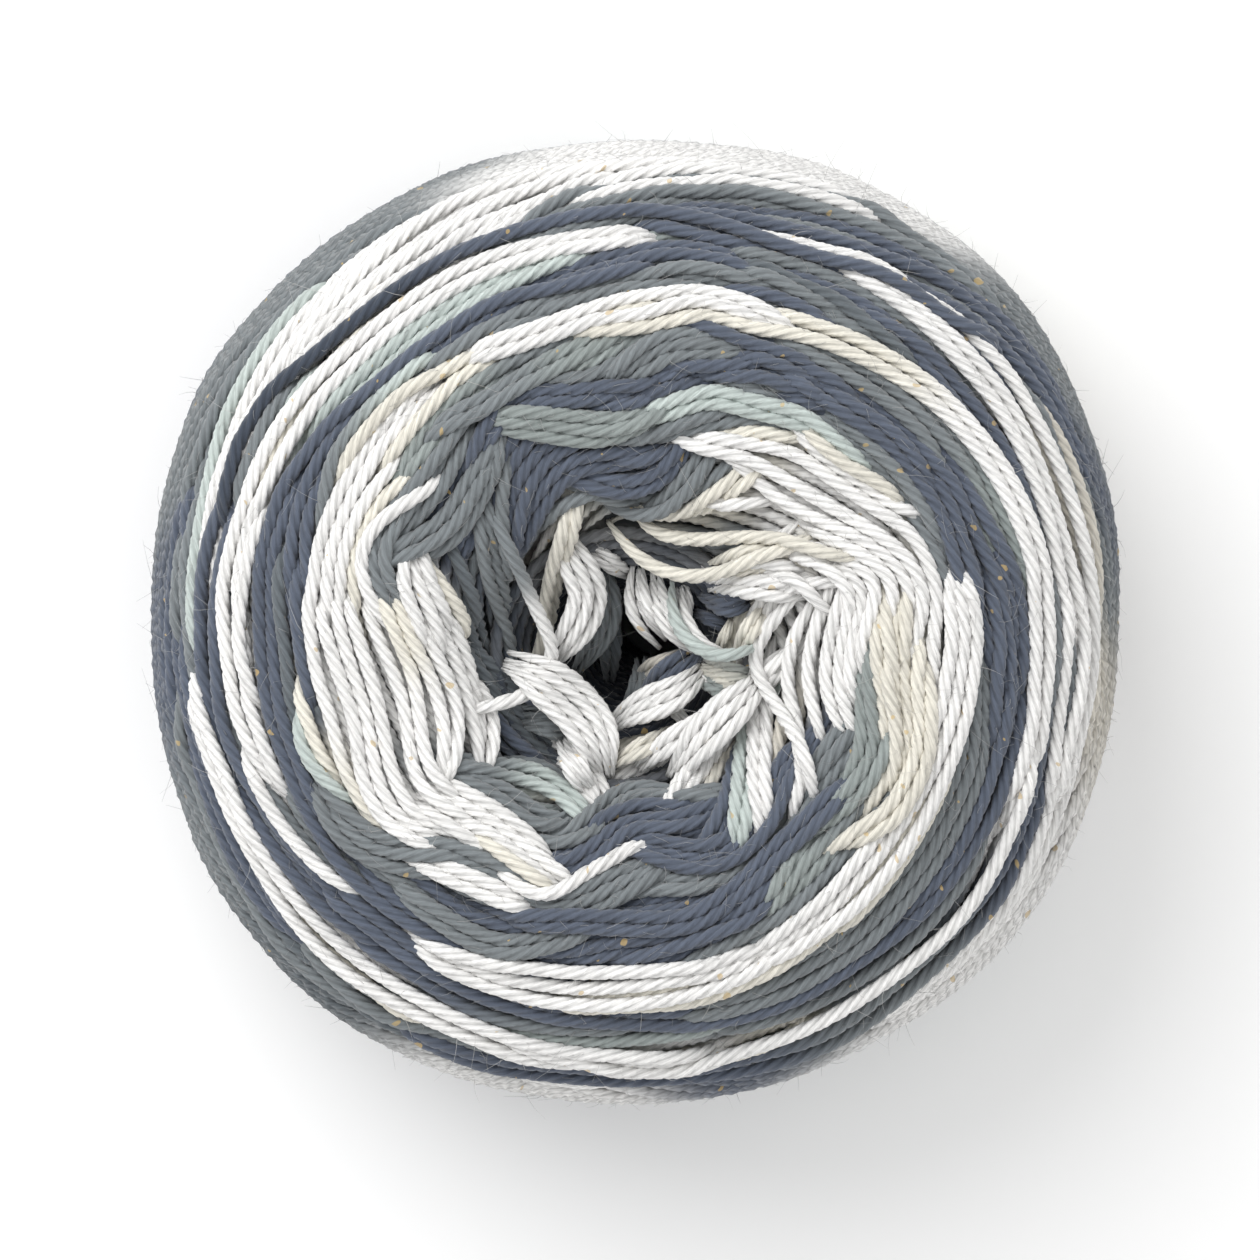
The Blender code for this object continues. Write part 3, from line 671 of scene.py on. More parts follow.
class Strand:
    """One length of yarn, point by point: its line, the surface's normals, its colours and its hold."""

    def __init__(self, points, normals, colours):
        self.points = points
        self.normals = normals
        self.colours = colours
        self.hold = np.ones(len(points))


def drift(count, chance, amount, wave):
    """A slow random wander along that many points, its waves about so many millimetres long."""
    knots = max(2, int(count * LAY_STEP / wave) + 2)
    values = [chance.uniform(-amount, amount) for _ in range(knots)]
    return evened(np.interp(np.linspace(0, knots - 1, count), range(knots), values), 4)


def lay_lock(row, chance):
    """The strands of one lock, side by side along its line and tucked under at both ends."""
    dye, number, lift, line = row
    spacing = in_mm(settings().wind.spacing)
    middle = smooth_curve(polar_points(line), LAY_STEP)
    start_angle = float(line.split(",")[0])
    strands = []
    for place in range(number):
        before, after = (chance.uniform(*(DIVE if number > 1 else SINGLE_DIVE)) for _ in range(2))
        first, last = middle[0] - middle[2], middle[-1] - middle[-3]
        first, last = first / np.linalg.norm(first), last / np.linalg.norm(last)
        lead = middle[0] + first * np.arange(int(before), 0, -LAY_STEP)[:, None]
        tail = middle[-1] + last * np.arange(1, int(after) + 1, LAY_STEP)[:, None]
        flat = np.concatenate([lead, middle, tail])
        along = unit(np.gradient(flat, axis=0))
        aside = np.stack([-along[:, 1], along[:, 0]], axis=1)
        inward = np.minimum(np.arange(len(flat)), np.arange(len(flat))[::-1]) / CONVERGE
        shift = (place - (number - 1) / 2) * spacing * np.clip(inward, END_SPACING, 1)
        shift += drift(len(flat), chance, amount=0.3, wave=16)
        flat = kept_on_top(evened(flat + aside * shift[:, None], 3))
        ground, normals = seen_points(flat)
        ground = evened(ground, 2)
        normals = unit(evened(normals, 6))
        high = np.full(len(flat), lift * LIFT_STEP - TOP_DEPTH)
        high += drift(len(flat), chance, amount=0.25, wave=14)
        fade = np.minimum(np.arange(len(flat)) / len(lead), np.arange(len(flat))[::-1] / len(tail))
        high -= (1 - np.clip(fade, 0, 1)) ** 2 * (DIVE_DEPTH + lift)
        turn = np.degrees(np.unwrap(np.arctan2(flat[:, 1], flat[:, 0])))
        turn += 360 * round((start_angle - turn[len(lead)]) / 360)
        shade = 1 + drift(len(flat), chance, amount=0.07, wave=12)
        strand = Strand(ground + normals * high[:, None], normals, dye_at(dye, turn) * shade[:, None])
        strand.hold = np.clip(fade * 1.6 - 0.6, 0, 1)
        strands.append(strand)
    return strands


def bowl_height(flat):
    """The height of the slack strands round the slit in the middle of the mouth."""
    out = np.hypot(flat[:, 0] - SLIT[0], np.clip(np.abs(flat[:, 1] - SLIT[1]) - SLIT_HALF, 0, None))
    return BOWL_FLOOR + BOWL_RISE * np.clip(out - SLIT_EDGE, 0, BOWL_REACH) ** BOWL_CURVE


def level_points(flat, heights):
    """Where the camera's rays through points of the reading plane reach the given heights."""
    eye, right, up, middle = (np.array(part) for part in view_axes())
    through = middle + flat[:, :1] * right + flat[:, 1:] * up
    ray = through - eye
    return eye + ray * ((heights - eye[2]) / ray[:, 2])[:, None]


def lay_loop(row, chance):
    """The strands of one lock that hangs in the mouth."""
    dye, number, lift, line = row
    middle = smooth_curve(np.array([[float(part) for part in pair.split(",")] for pair in line.split()]),
                          LAY_STEP)
    strands = []
    for place in range(number):
        along = unit(np.gradient(middle, axis=0))
        aside = np.stack([-along[:, 1], along[:, 0]], axis=1)
        inward = np.minimum(np.arange(len(middle)), np.arange(len(middle))[::-1]) / LOOP_CONVERGE
        shift = (place - (number - 1) / 2) * LOOP_SPACING * np.clip(inward, LOOP_END_SPACING, 1)
        shift += drift(len(middle), chance, amount=0.35, wave=9)
        flat = evened(middle + aside * shift[:, None], 2)
        heights = bowl_height(flat) + lift + drift(len(flat), chance, amount=0.5, wave=8)
        ends = np.minimum(np.arange(len(flat)), np.arange(len(flat))[::-1]) / LOOP_DIVE_LENGTH
        heights -= (1 - np.clip(ends, 0, 1)) ** 2 * LOOP_DIVE
        points = level_points(flat, heights)
        upward = np.tile((0.0, 0.0, 1.0), (len(points), 1))
        turn = np.degrees(np.arctan2(flat[:, 1], flat[:, 0]))
        shade = 1 + drift(len(flat), chance, amount=0.07, wave=10)
        strand = Strand(points, upward, dye_at(dye, turn) * shade[:, None])
        strand.hold = np.clip(ends * 1.5 - 0.5, 0, 1)
        strands.append(strand)
    return strands


def stretch(strand, rounds):
    """Pulls a strand straight where it hangs between two high places, and never below them."""
    height = strand.points[:, 2]
    low = height.copy()
    for _ in range(rounds):
        height[1:-1] = np.maximum(low[1:-1], (height[:-2] + height[2:]) / 2 - STRETCH_SAG)
    strand.points[:, 2] = height


def settle(strands, rounds):
    """Pushes strands that share a place apart, then evens each and draws it back to its own line."""
    gap = in_mm(settings().yarn.thickness) * SETTLE_GAP
    sizes = [len(strand.points) for strand in strands]
    ends = np.cumsum(sizes)
    owner = np.repeat(np.arange(len(strands)), sizes)
    place = np.concatenate([strand.points for strand in strands])
    home = place.copy()
    normal = np.concatenate([strand.normals for strand in strands])
    hold = np.concatenate([strand.hold for strand in strands])
    inner = np.ones(len(place), bool)
    inner[ends - 1] = False
    inner[np.concatenate([[0], ends[:-1]])] = False
    inside = np.flatnonzero(inner)
    near = None
    for turn in range(rounds):
        if turn % NEIGHBOUR_ROUNDS == 0:
            near = touching(place, owner, gap + SETTLE_LOOK)
        a, b = near
        apart = place[a] - place[b]
        far = np.maximum(np.linalg.norm(apart, axis=1), 1e-6)
        push = np.clip(gap - far, 0, MOST_PUSH) * PUSH_SHARE * hold[a] * hold[b]
        move = apart / far[:, None] * push[:, None]
        total = np.zeros_like(place)
        np.add.at(total, a, move)
        np.add.at(total, b, -move)
        count = np.zeros(len(place))
        np.add.at(count, a, push > 0)
        np.add.at(count, b, push > 0)
        place += total / np.sqrt(np.maximum(count, 1))[:, None]
        middle = (place[inside - 1] + place[inside + 1]) / 2
        place[inside] += EVEN_SHARE * (middle - place[inside])
        place += HOME_SHARE * (home - place)
        rise = np.einsum("ij,ij->i", place - home, normal)
        place += normal * np.maximum(-MOST_SINK - rise, 0)[:, None]
    for strand, part in zip(strands, np.split(place, ends[:-1])):
        strand.points = evened(part, 2)


def touching(place, owner, reach):
    """Pairs of points of different strands that lie within reach of each other."""
    tree = KDTree(len(place))
    for number, point in enumerate(place):
        tree.insert(point, number)
    tree.balance()
    first, second = [], []
    for number, point in enumerate(place):
        for _, other, _ in tree.find_range(point, reach):
            if other > number and owner[other] != owner[number]:
                first.append(number)
                second.append(other)
    return np.array(first), np.array(second)


TOP_LOCKS = {
    "outer_locks_right": OUTER_RIGHT + OUTER_TOP,
    "outer_locks_left": OUTER_LEFT + OUTER_BOTTOM,
    "inner_locks": LEFT_MASS + INNER_TOP,
    "mouth_locks": RIGHT_MASS + INNER_BOTTOM + MOUTH_LOOPS,
}


@lru_cache(maxsize=None)
def laid_locks():
    """All the strands of the top, settled together, by the name of their piece."""
    chance = random.Random(SEED)
    laid = {}
    for name, rows in TOP_LOCKS.items():
        laid[name] = []
        for row in rows:
            strands = lay_lock(row, chance)
            for strand in strands:
                stretch(strand, LOOP_STRETCH if row in MOUTH_LOOPS else LOCK_STRETCH)
            laid[name] += strands
    laid["hole_loops"] = [strand for row in HOLE_LOOPS for strand in lay_loop(row, chance)]
    settle([strand for group in laid.values() for strand in group], SETTLE_ROUNDS)
    return laid


@lru_cache(maxsize=None)
def colour_finder():
    """Gives the colour of the top strand nearest to a point, for the turns beneath."""
    strands = [strand for group in laid_locks().values() for strand in group]
    points = np.concatenate([strand.points[::2] for strand in strands])
    colours = np.concatenate([strand.colours[::2] for strand in strands])
    tree = KDTree(len(points))
    for number, point in enumerate(points):
        tree.insert(point, number)
    tree.balance()
    return lambda point: colours[tree.find(point)[1]]


# The slack mouth: its middle, and where the painted shade of the throat begins and ends to fade.
MOUTH_MIDDLE = (-1.8, -3.8)
MOUTH_PAINTED_SHADE = (10.0, 17.0)


def below_colours(points, shade, rounds=6):
    """The colours of the strands over these points, darkened by the given share, evened along the line, and
    deepened near the mouth as painted shade of the throat.
    """
    found = evened(np.array([colour_finder()(point) for point in points]), rounds) * shade
    # painted shade: near the mouth the colour turns to the deep slate of the throat
    away = np.hypot(points[:, 0] - MOUTH_MIDDLE[0], points[:, 1] - MOUTH_MIDDLE[1])
    near = np.clip((MOUTH_PAINTED_SHADE[1] - away) / (MOUTH_PAINTED_SHADE[1] - MOUTH_PAINTED_SHADE[0]), 0, 1)[:, None]
    return found + near * (np.array(settings().dye.deep) - found)


# How far a spiral's turns swing in and out: three broad waves a turn, and five small ones.
BROAD_SWING, SMALL_SWING = 1.3, 0.8


def spiral(outer, inner, arms, spacing, phase, middle):
    """One arm of an even spiral in a flat plane, winding in towards a middle of its own."""
    turns = (outer - inner) / (arms * spacing)
    count = int(turns * math.pi * (outer + inner) / LAY_STEP)
    share = np.linspace(0, 1, count)
    angle = phase + share * turns * 2 * math.pi
    radius = outer - share * (outer - inner)
    radius += BROAD_SWING * np.sin(3 * angle + 1.1) * np.sin(math.pi * share)
    radius += SMALL_SWING * np.sin(5 * angle)
    line = np.stack([radius * np.cos(angle) + middle[0] * share,
                     radius * np.sin(angle) + middle[1] * share], axis=1)
    return even_points(line, LAY_STEP)


# The turns beneath: how far out and in they go, the middle that they wind towards, and the painted shade
# that darkens them under the locks.
BASE_OUTER, BASE_INNER = 65.5, 15.5
BASE_MIDDLE = (-1.5, -4.5)
BASE_PAINTED_SHADE = 0.93


def base_strands():
    """The even turns that lie under the loose locks."""
    wind = settings().wind
    strands = []
    for arm in range(wind.arms):
        flat = kept_on_top(spiral(BASE_OUTER, BASE_INNER, wind.arms, in_mm(wind.spacing),
                                  arm * 2 * math.pi / wind.arms, BASE_MIDDLE))
        ground, normals = seen_points(flat)
        normals = unit(evened(normals, 6))
        points = evened(ground, 4) - normals * BASE_DEPTH
        strands.append(Strand(points, normals, below_colours(points, BASE_PAINTED_SHADE)))
    return strands


def repeat_colour(run):
    """The dye at each run of yarn, in millimetres, as the dyer's repeat has it."""
    dyes = settings().dye
    order = ("white", "white", "cream", "mint", "sage", "grey", "slate", "slate", "slate", "grey",
             "dark", "slate", "sage", "mint")
    share = (run / in_mm(settings().wind.dye_repeat)) % 1 * len(order)
    colours = np.array([getattr(dyes, name) for name in order + order[:1]])
    return np.stack([np.interp(share, range(len(order) + 1), column) for column in colours.T], axis=1)


# The wall's turns reach from foot to crest, where they sink under the locks, whose colours they take on
# from one height to the next.
WALL_LOW, WALL_HIGH = 4.0, 68.0
WALL_SINK, SINK_HEIGHT = 3.4, 8.0
JOIN_HEIGHTS = (20.0, 38.0)
JOIN_SHADE, JOIN_ROUNDS = 0.97, 40

# Where climbing turns lie over falling ones, and the reverse: swaps a turn, lean with height and start,
# how sharply they swap, and the depth of both in the middle and to either side of it.
SWAPS, SWAP_LEAN, SWAP_START, SWAP_SHARPNESS = 2, 0.11, 0.6, 9
WALL_DEPTH, OVER_DEPTH = 1.1, 0.85

# How far round the falling turns start, and how the turns stray: by an angle, in waves.
FALL_START = 0.37
STRAY, STRAY_WAVES = math.radians(1.2), 9

# How the dyes' repeat moves on: with height, and in slow waves from turn to turn.
RISE_RUN, SLOW_RUN, SLOW_STEP = 0.9, 25, 0.35


@lru_cache(maxsize=None)
def wall_strands(climbing):
    """The crossed turns of the wall, either those that climb or those that fall."""
    wind = settings().wind
    slope = math.tan(wind.wall_slope)
    radius = cad_box[1].x / MM
    half_turn = (WALL_HIGH - WALL_LOW) / slope / radius
    gap = in_mm(wind.spacing) / math.sin(wind.wall_slope) / radius
    number = int(2 * math.pi / gap)
    chance = random.Random(SEED + climbing)
    strands = []
    for turn in range(number):
        start = turn * 2 * math.pi / number + (0 if climbing else FALL_START)
        share = np.linspace(0, 1, int(half_turn * radius / LAY_STEP))
        angle = start + (1 if climbing else -1) * share * half_turn
        angle = angle + STRAY * np.sin(share * STRAY_WAVES + turn)
        height = WALL_LOW + (WALL_HIGH - WALL_LOW) * share
        ground, normals = wall_points(angle, height)
        over = np.tanh(SWAP_SHARPNESS * np.sin(SWAPS * angle + SWAP_LEAN * height + SWAP_START))
        over *= 1 if climbing else -1
        depth = WALL_DEPTH - OVER_DEPTH * over + drift(len(share), chance, amount=0.2, wave=20)
        depth += WALL_SINK * np.clip((height - RIM_LOW) / SINK_HEIGHT, 0, 1)
        points = evened(ground - normals * depth[:, None], 3)
        run = angle * radius + height * RISE_RUN + SLOW_RUN * math.sin(turn * SLOW_STEP)
        shade = 1 + drift(len(share), chance, amount=0.06, wave=14)
        colours = repeat_colour(run) * shade[:, None]
        joined = np.clip((points[:, 2] - JOIN_HEIGHTS[0]) / (JOIN_HEIGHTS[1] - JOIN_HEIGHTS[0]), 0, 1)
        colours += joined[:, None] * (below_colours(points, JOIN_SHADE, JOIN_ROUNDS) - colours)
        strands.append(Strand(points, unit(evened(normals, 4)), colours))
    return strands


# The wall's rays start this far from the axis.
WALL_REACH = 120.0


def wall_points(angles, heights):
    """Where level rays from outside meet the wall, with the normals."""
    places, normals = [], []
    for angle, height in zip(angles, heights):
        out = Vector((math.cos(angle), math.sin(angle), 0))
        found = form().hit(out * WALL_REACH + Vector((0, 0, height)), -out)
        places.append(found[0])
        normals.append(found[1])
    return np.array(places), np.array(normals)


# Loose fibres: their length, radius at the root and how much thinner the tip is, rings, lean to either
# side in radians, distance of the root from the strand's middle, rise, spread along and across, bend and
# droop, and how much of the strand's dye and of white they have.
HAIR_LENGTH = (1.0, 3.8)
HAIR_RADIUS, TIP_THINNING = 0.038, 0.6
HAIR_RINGS = 4
HAIR_LEAN, HAIR_ROOT, HAIR_RISE = 1.2, 0.85, 0.5
SPREAD_ALONG, SPREAD_ACROSS = 0.6, 0.5
HAIR_BEND, HAIR_DROOP = 0.5, 0.35
HAIR_DYE, HAIR_WHITE = 0.35, 0.5


def hair_mesh(name, strands, number):
    """Loose fibre ends that stand off the strands, each a thin curved three-sided tube."""
    chance = np.random.default_rng(SEED)
    weights = np.array([len(strand.points) for strand in strands], float)
    picks = chance.choice(len(strands), number, p=weights / weights.sum())
    roots, ways, bends, colours = [], [], [], []
    for pick in picks:
        strand = strands[pick]
        at = chance.integers(1, len(strand.points) - 1)
        along = strand.points[at + 1] - strand.points[at - 1]
        upward = strand.normals[at]
        aside = np.cross(along, upward) / np.linalg.norm(along)
        lean = chance.uniform(-HAIR_LEAN, HAIR_LEAN)
        out = math.cos(lean) * upward + math.sin(lean) * aside
        roots.append(strand.points[at] + out * HAIR_ROOT)
        ways.append(out * HAIR_RISE + along * chance.uniform(-SPREAD_ALONG, SPREAD_ALONG)
                    + aside * chance.uniform(-SPREAD_ACROSS, SPREAD_ACROSS))
        bends.append(chance.normal(0, HAIR_BEND, 3) - upward * HAIR_DROOP)
        colours.append(strand.colours[at] * HAIR_DYE + HAIR_WHITE * np.array(settings().dye.white))
    roots, ways, bends = np.array(roots), unit(np.array(ways)), np.array(bends)
    length = chance.uniform(*HAIR_LENGTH, number)[:, None, None]
    share = np.linspace(0, 1, HAIR_RINGS)[None, :, None]
    middle = roots[:, None] + length * (ways[:, None] * share + bends[:, None] * share ** 2)
    first = unit(np.cross(ways, bends + 0.01))
    second = np.cross(ways, first)
    turn = np.arange(3) * 2 * math.pi / 3
    ring = np.cos(turn)[None, :, None] * first[:, None] + np.sin(turn)[None, :, None] * second[:, None]
    thin = HAIR_RADIUS * (1 - TIP_THINNING * share)
    points = middle[:, :, None] + ring[:, None] * thin[..., None]
    base = (np.arange(number) * HAIR_RINGS * 3)[:, None, None, None]
    step = (np.arange(HAIR_RINGS - 1) * 3)[None, :, None, None]
    side = np.arange(3)
    after = (side + 1) % 3
    corner = np.stack([side, after, after + 3, side + 3], axis=1)
    quads = (base + step + corner).reshape(-1, 4)
    caps = np.concatenate([base.reshape(-1, 1) + np.array([0, 2, 1]),
                           base.reshape(-1, 1) + (HAIR_RINGS - 1) * 3 + np.array([0, 1, 2])])
    corners = np.concatenate([quads.ravel(), caps.ravel()])
    totals = np.concatenate([np.full(len(quads), 4), np.full(len(caps), 3)])
    uvs = np.zeros((len(corners), 2))
    paint = np.repeat(np.array(colours), HAIR_RINGS * 3, axis=0)
    return build_mesh(name, points.reshape(-1, 3), corners, totals, uvs, paint)


# The spindle's hole in the sole, how far out and in the turns go, the height of their middles, the highest
# place that still counts as sole, and how far the dyes move on from arm to arm.
SOLE_MOUTH = (5.3, 1.3)
SOLE_OUTER, SOLE_INNER = 57.5, 11.0
SOLE_DEPTH = 1.02
SOLE_HIGHEST = 20.0
SOLE_RUN = 31


def sole_strands():
    """The turns of the flat underside, winding in to the spindle's hole."""
    wind = settings().wind
    strands = []
    for arm in range(wind.arms):
        flat = spiral(SOLE_OUTER, SOLE_INNER, wind.arms, in_mm(wind.spacing),
                      arm * 2 * math.pi / wind.arms, SOLE_MOUTH)
        places, normals = [], []
        for across, along in flat:
            found = form().hit(Vector((across, along, -50)), Vector((0, 0, 1)))
            if not found or found[0].z > SOLE_HIGHEST or found[1].z > 0:
                found = (Vector((across, along, 0)), Vector((0, 0, -1)))
            places.append(found[0])
            normals.append(found[1])
        normals = unit(evened(np.array(normals), 6))
        points = evened(np.array(places) - normals * SOLE_DEPTH, 3)
        points[:, 2] -= points[:, 2].min() - SOLE_DEPTH
        run = np.arange(len(points)) * LAY_STEP + arm * SOLE_RUN
        strands.append(Strand(points, normals, repeat_colour(run)))
    return strands


# The throat's own crooked middle line, from the sole up: height, then across and along.
THROAT_LINE = ((0.0, 5.5, 1.5), (18.0, 5.0, 1.0), (36.0, 1.5, -1.8), (54.0, -1.4, -3.6),
               (78.0, -1.8, -3.8))



# The winding that lines it: its ends, the widest place that counts as throat, the radius where there is
# none, the least radius to step by, how unevenly it falls, its depth, and its painted shade, darker
# downwards.
THROAT_TOP, THROAT_FOOT = 67.0, 2.0
THROAT_WIDEST, THROAT_RADIUS, THROAT_LEAST = 22, 12, 2.0
THROAT_UNEVEN = 0.4
THROAT_DEPTH = 0.9
THROAT_SHADE_TOP, THROAT_SHADE_DEPTH = 72, 25


def throat_strand():
    """The one winding that lines the throat from the mouth to the sole."""
    spacing = in_mm(settings().wind.spacing)
    line = np.array(THROAT_LINE)
    places, normals = [], []
    height, angle = THROAT_TOP, 0.0
    while height > THROAT_FOOT:
        centre = Vector((np.interp(height, line[:, 0], line[:, 1]),
                         np.interp(height, line[:, 0], line[:, 2]), height))
        out = Vector((math.cos(angle), math.sin(angle), 0))
        found = form().hit(centre, out)
        if found is None or (found[0] - centre).length > THROAT_WIDEST:
            found = (centre + out * THROAT_RADIUS, -out)
        places.append(found[0])
        normals.append(found[1])
        step = LAY_STEP / max((found[0] - centre).length, THROAT_LEAST)
        angle += step
        height -= spacing * step / (2 * math.pi) * (1 + THROAT_UNEVEN * math.sin(3 * angle))
    normals = unit(evened(np.array(normals), 10))
    points = evened(np.array(places), 6) - normals * THROAT_DEPTH
    # painted shade: the lining is deep slate, darker further down, with a little of the top's colours near
    # the mouth
    depth = np.clip((THROAT_SHADE_TOP - points[:, 2]) / THROAT_SHADE_DEPTH, 0, 1)[:, None]
    shaded = np.array(settings().dye.deep) * (1 - 0.5 * depth)
    colours = shaded + 0.25 * (1 - depth) * (below_colours(points, 1) - shaded)
    return Strand(points, normals, colours)


# The radius of a strand whose rings are too rough for plies, as a share of the full one.
ROUND_WIDTH = 0.97


def ring_points(strand, step, sides, start):
    """The rings of a plied strand: their points, their colours and how far along it they lie."""
    yarn = settings().yarn
    gaps = np.linalg.norm(np.diff(strand.points, axis=0), axis=1)
    run = np.concatenate([[0], np.cumsum(gaps)])
    count = max(4, int(run[-1] / step) + 1)
    wanted = np.linspace(0, run[-1], count)
    middle, upward, colour = (np.stack([np.interp(wanted, run, column) for column in values.T], axis=1)
                              for values in (strand.points, strand.normals, strand.colours))
    along = unit(np.gradient(middle, axis=0))
    aside = unit(np.cross(along, upward))
    upward = np.cross(aside, along)
    twist = start + 2 * math.pi * wanted / in_mm(yarn.pitch)
    angle = twist[:, None] + np.arange(sides) * 2 * math.pi / sides
    if sides % yarn.plies:
        share = np.full(sides, ROUND_WIDTH)
    else:
        between = np.arange(sides) % (sides // yarn.plies) == 0
        share = np.where(between, yarn.valley if sides == FINE_SIDES else (1 + yarn.valley) / 2, 1.0)
    taper = np.clip(np.minimum(wanted, run[-1] - wanted) / END_TAPER, END_WIDTH, 1) ** 0.5
    radius = in_mm(yarn.thickness) / 2 * share * taper[:, None]
    rings = (middle[:, None] + (np.cos(angle) * radius)[..., None] * upward[:, None]
             + (np.sin(angle) * radius)[..., None] * -aside[:, None])
    return rings, colour, wanted


# How far the fibre pattern may start along each strand, so that no two look the same.
FIBRE_SHIFT = 4000


def strand_mesh(name, strands, step, sides):
    """One mesh of all the strands, with the run and the twist as its UV map and the dye as an attribute."""
    chance = random.Random(name)
    points, colours, corners, totals, uvs = [], [], [], [], []
    base = 0
    for strand in strands:
        rings, colour, run = ring_points(strand, step, sides, chance.uniform(0, 2 * math.pi))
        count = len(rings)
        shift = chance.uniform(0, FIBRE_SHIFT)
        points.append(rings.reshape(-1, 3))
        colours.append(np.repeat(colour, sides, axis=0))
        ring, side = np.meshgrid(np.arange(count - 1), np.arange(sides), indexing="ij")
        ring, side = ring.ravel(), side.ravel()
        after = (side + 1) % sides
        quads = np.stack([ring * sides + side, (ring + 1) * sides + side,
                          (ring + 1) * sides + after, ring * sides + after], axis=1)
        corners.append((quads + base).ravel())
        totals.append(np.full(len(quads), 4))
        around = np.stack([side, side, side + 1, side + 1], axis=1) / sides
        length = np.stack([run[ring], run[ring + 1], run[ring + 1], run[ring]], axis=1) + shift
        uvs.append(np.stack([length.ravel(), around.ravel()], axis=1))
        fan = np.arange(1, sides - 1)
        for origin, order in ((0, (0, 1, 2)), ((count - 1) * sides, (0, 2, 1))):
            cap = np.stack([np.zeros(sides - 2, int), fan, fan + 1], axis=1)[:, order]
            corners.append((cap + base + origin).ravel())
            totals.append(np.full(len(cap), 3))
            uvs.append(np.stack([np.full(cap.size, shift), (cap / sides).ravel()], axis=1))
        base += count * sides
    return build_mesh(name, np.concatenate(points), np.concatenate(corners), np.concatenate(totals),
                      np.concatenate(uvs), np.concatenate(colours))


def build_mesh(name, points, corners, totals, uvs, colours):
    """A finished mesh object from arrays in millimetres."""
    mesh = bpy.data.meshes.new(name)
    mesh.vertices.add(len(points))
    mesh.vertices.foreach_set("co", (points * MM).astype(np.float32).ravel())
    mesh.loops.add(len(corners))
    mesh.loops.foreach_set("vertex_index", corners.astype(np.int32))
    mesh.polygons.add(len(totals))
    starts = np.concatenate([[0], np.cumsum(totals)[:-1]])
    mesh.polygons.foreach_set("loop_start", starts.astype(np.int32))
    mesh.polygons.foreach_set("use_smooth", np.ones(len(totals), bool))
    mesh.update(calc_edges=True)
    layer = mesh.uv_layers.new(name="run_and_twist")
    layer.data.foreach_set("uv", uvs.astype(np.float32).ravel())
    paint = mesh.color_attributes.new("dye", "FLOAT_COLOR", "POINT")
    opaque = np.concatenate([np.clip(colours, 0, 1), np.ones((len(colours), 1))], axis=1)
    paint.data.foreach_set("color", opaque.astype(np.float32).ravel())
    mesh.validate()
    piece = bpy.data.objects.new(name, mesh)
    bpy.context.collection.objects.link(piece)
    return piece


class Sum:
    """A shader socket that takes part in Python expressions."""

    def __init__(self, tree, socket):
        self.tree, self.socket = tree, socket

    def make(self, kind, choices=None, **values):
        """A node of that type with its settings and then its sockets, by name or by number as in s0."""
        node = self.tree.nodes.new(kind)
        for key, value in (choices or {}).items():
            setattr(node, key, value)
        for key, value in values.items():
            if key[0] == "s" and key[1:].isdigit():
                socket = node.inputs[int(key[1:])]
            else:
                socket = node.inputs[key.replace("_", " ")]
            if isinstance(value, Sum):
                self.tree.links.new(value.socket, socket)
            else:
                socket.default_value = value
        return node

    def out(self, node, number=0):
        """One of the node's outputs."""
        return Sum(self.tree, node.outputs[number])

    def math(self, operation, *values):
        """A Math node on these values."""
        sockets = {f"s{number}": value for number, value in enumerate(values)}
        return self.out(self.make("ShaderNodeMath", {"operation": operation}, **sockets))

    def __add__(self, other):
        return self.math("ADD", self, other)

    def __sub__(self, other):
        return self.math("SUBTRACT", self, other)

    def __mul__(self, other):
        return self.math("MULTIPLY", self, other)

    def __rsub__(self, other):
        return self.math("SUBTRACT", other, self)

    def __rmul__(self, other):
        return self.math("MULTIPLY", other, self)

    def __radd__(self, other):
        return self.math("ADD", other, self)


def new_material(name, **constants):
    """A material with a Principled shader, whose constants are set, and the wrap that adds nodes to it."""
    material = bpy.data.materials.new(name)
    material.use_nodes = True
    shader = material.node_tree.nodes["Principled BSDF"]
    for key, value in constants.items():
        shader.inputs[key.replace("_", " ")].default_value = value
    return material, shader, Sum(material.node_tree, None)


# Where the noise passes this, a speck of seed husk shows in the cotton, so strongly and in this colour.
FLECK_SHARE, FLECK_STRENGTH = 0.815, 0.6
FLECK_COLOUR = srgb(206, 176, 112)


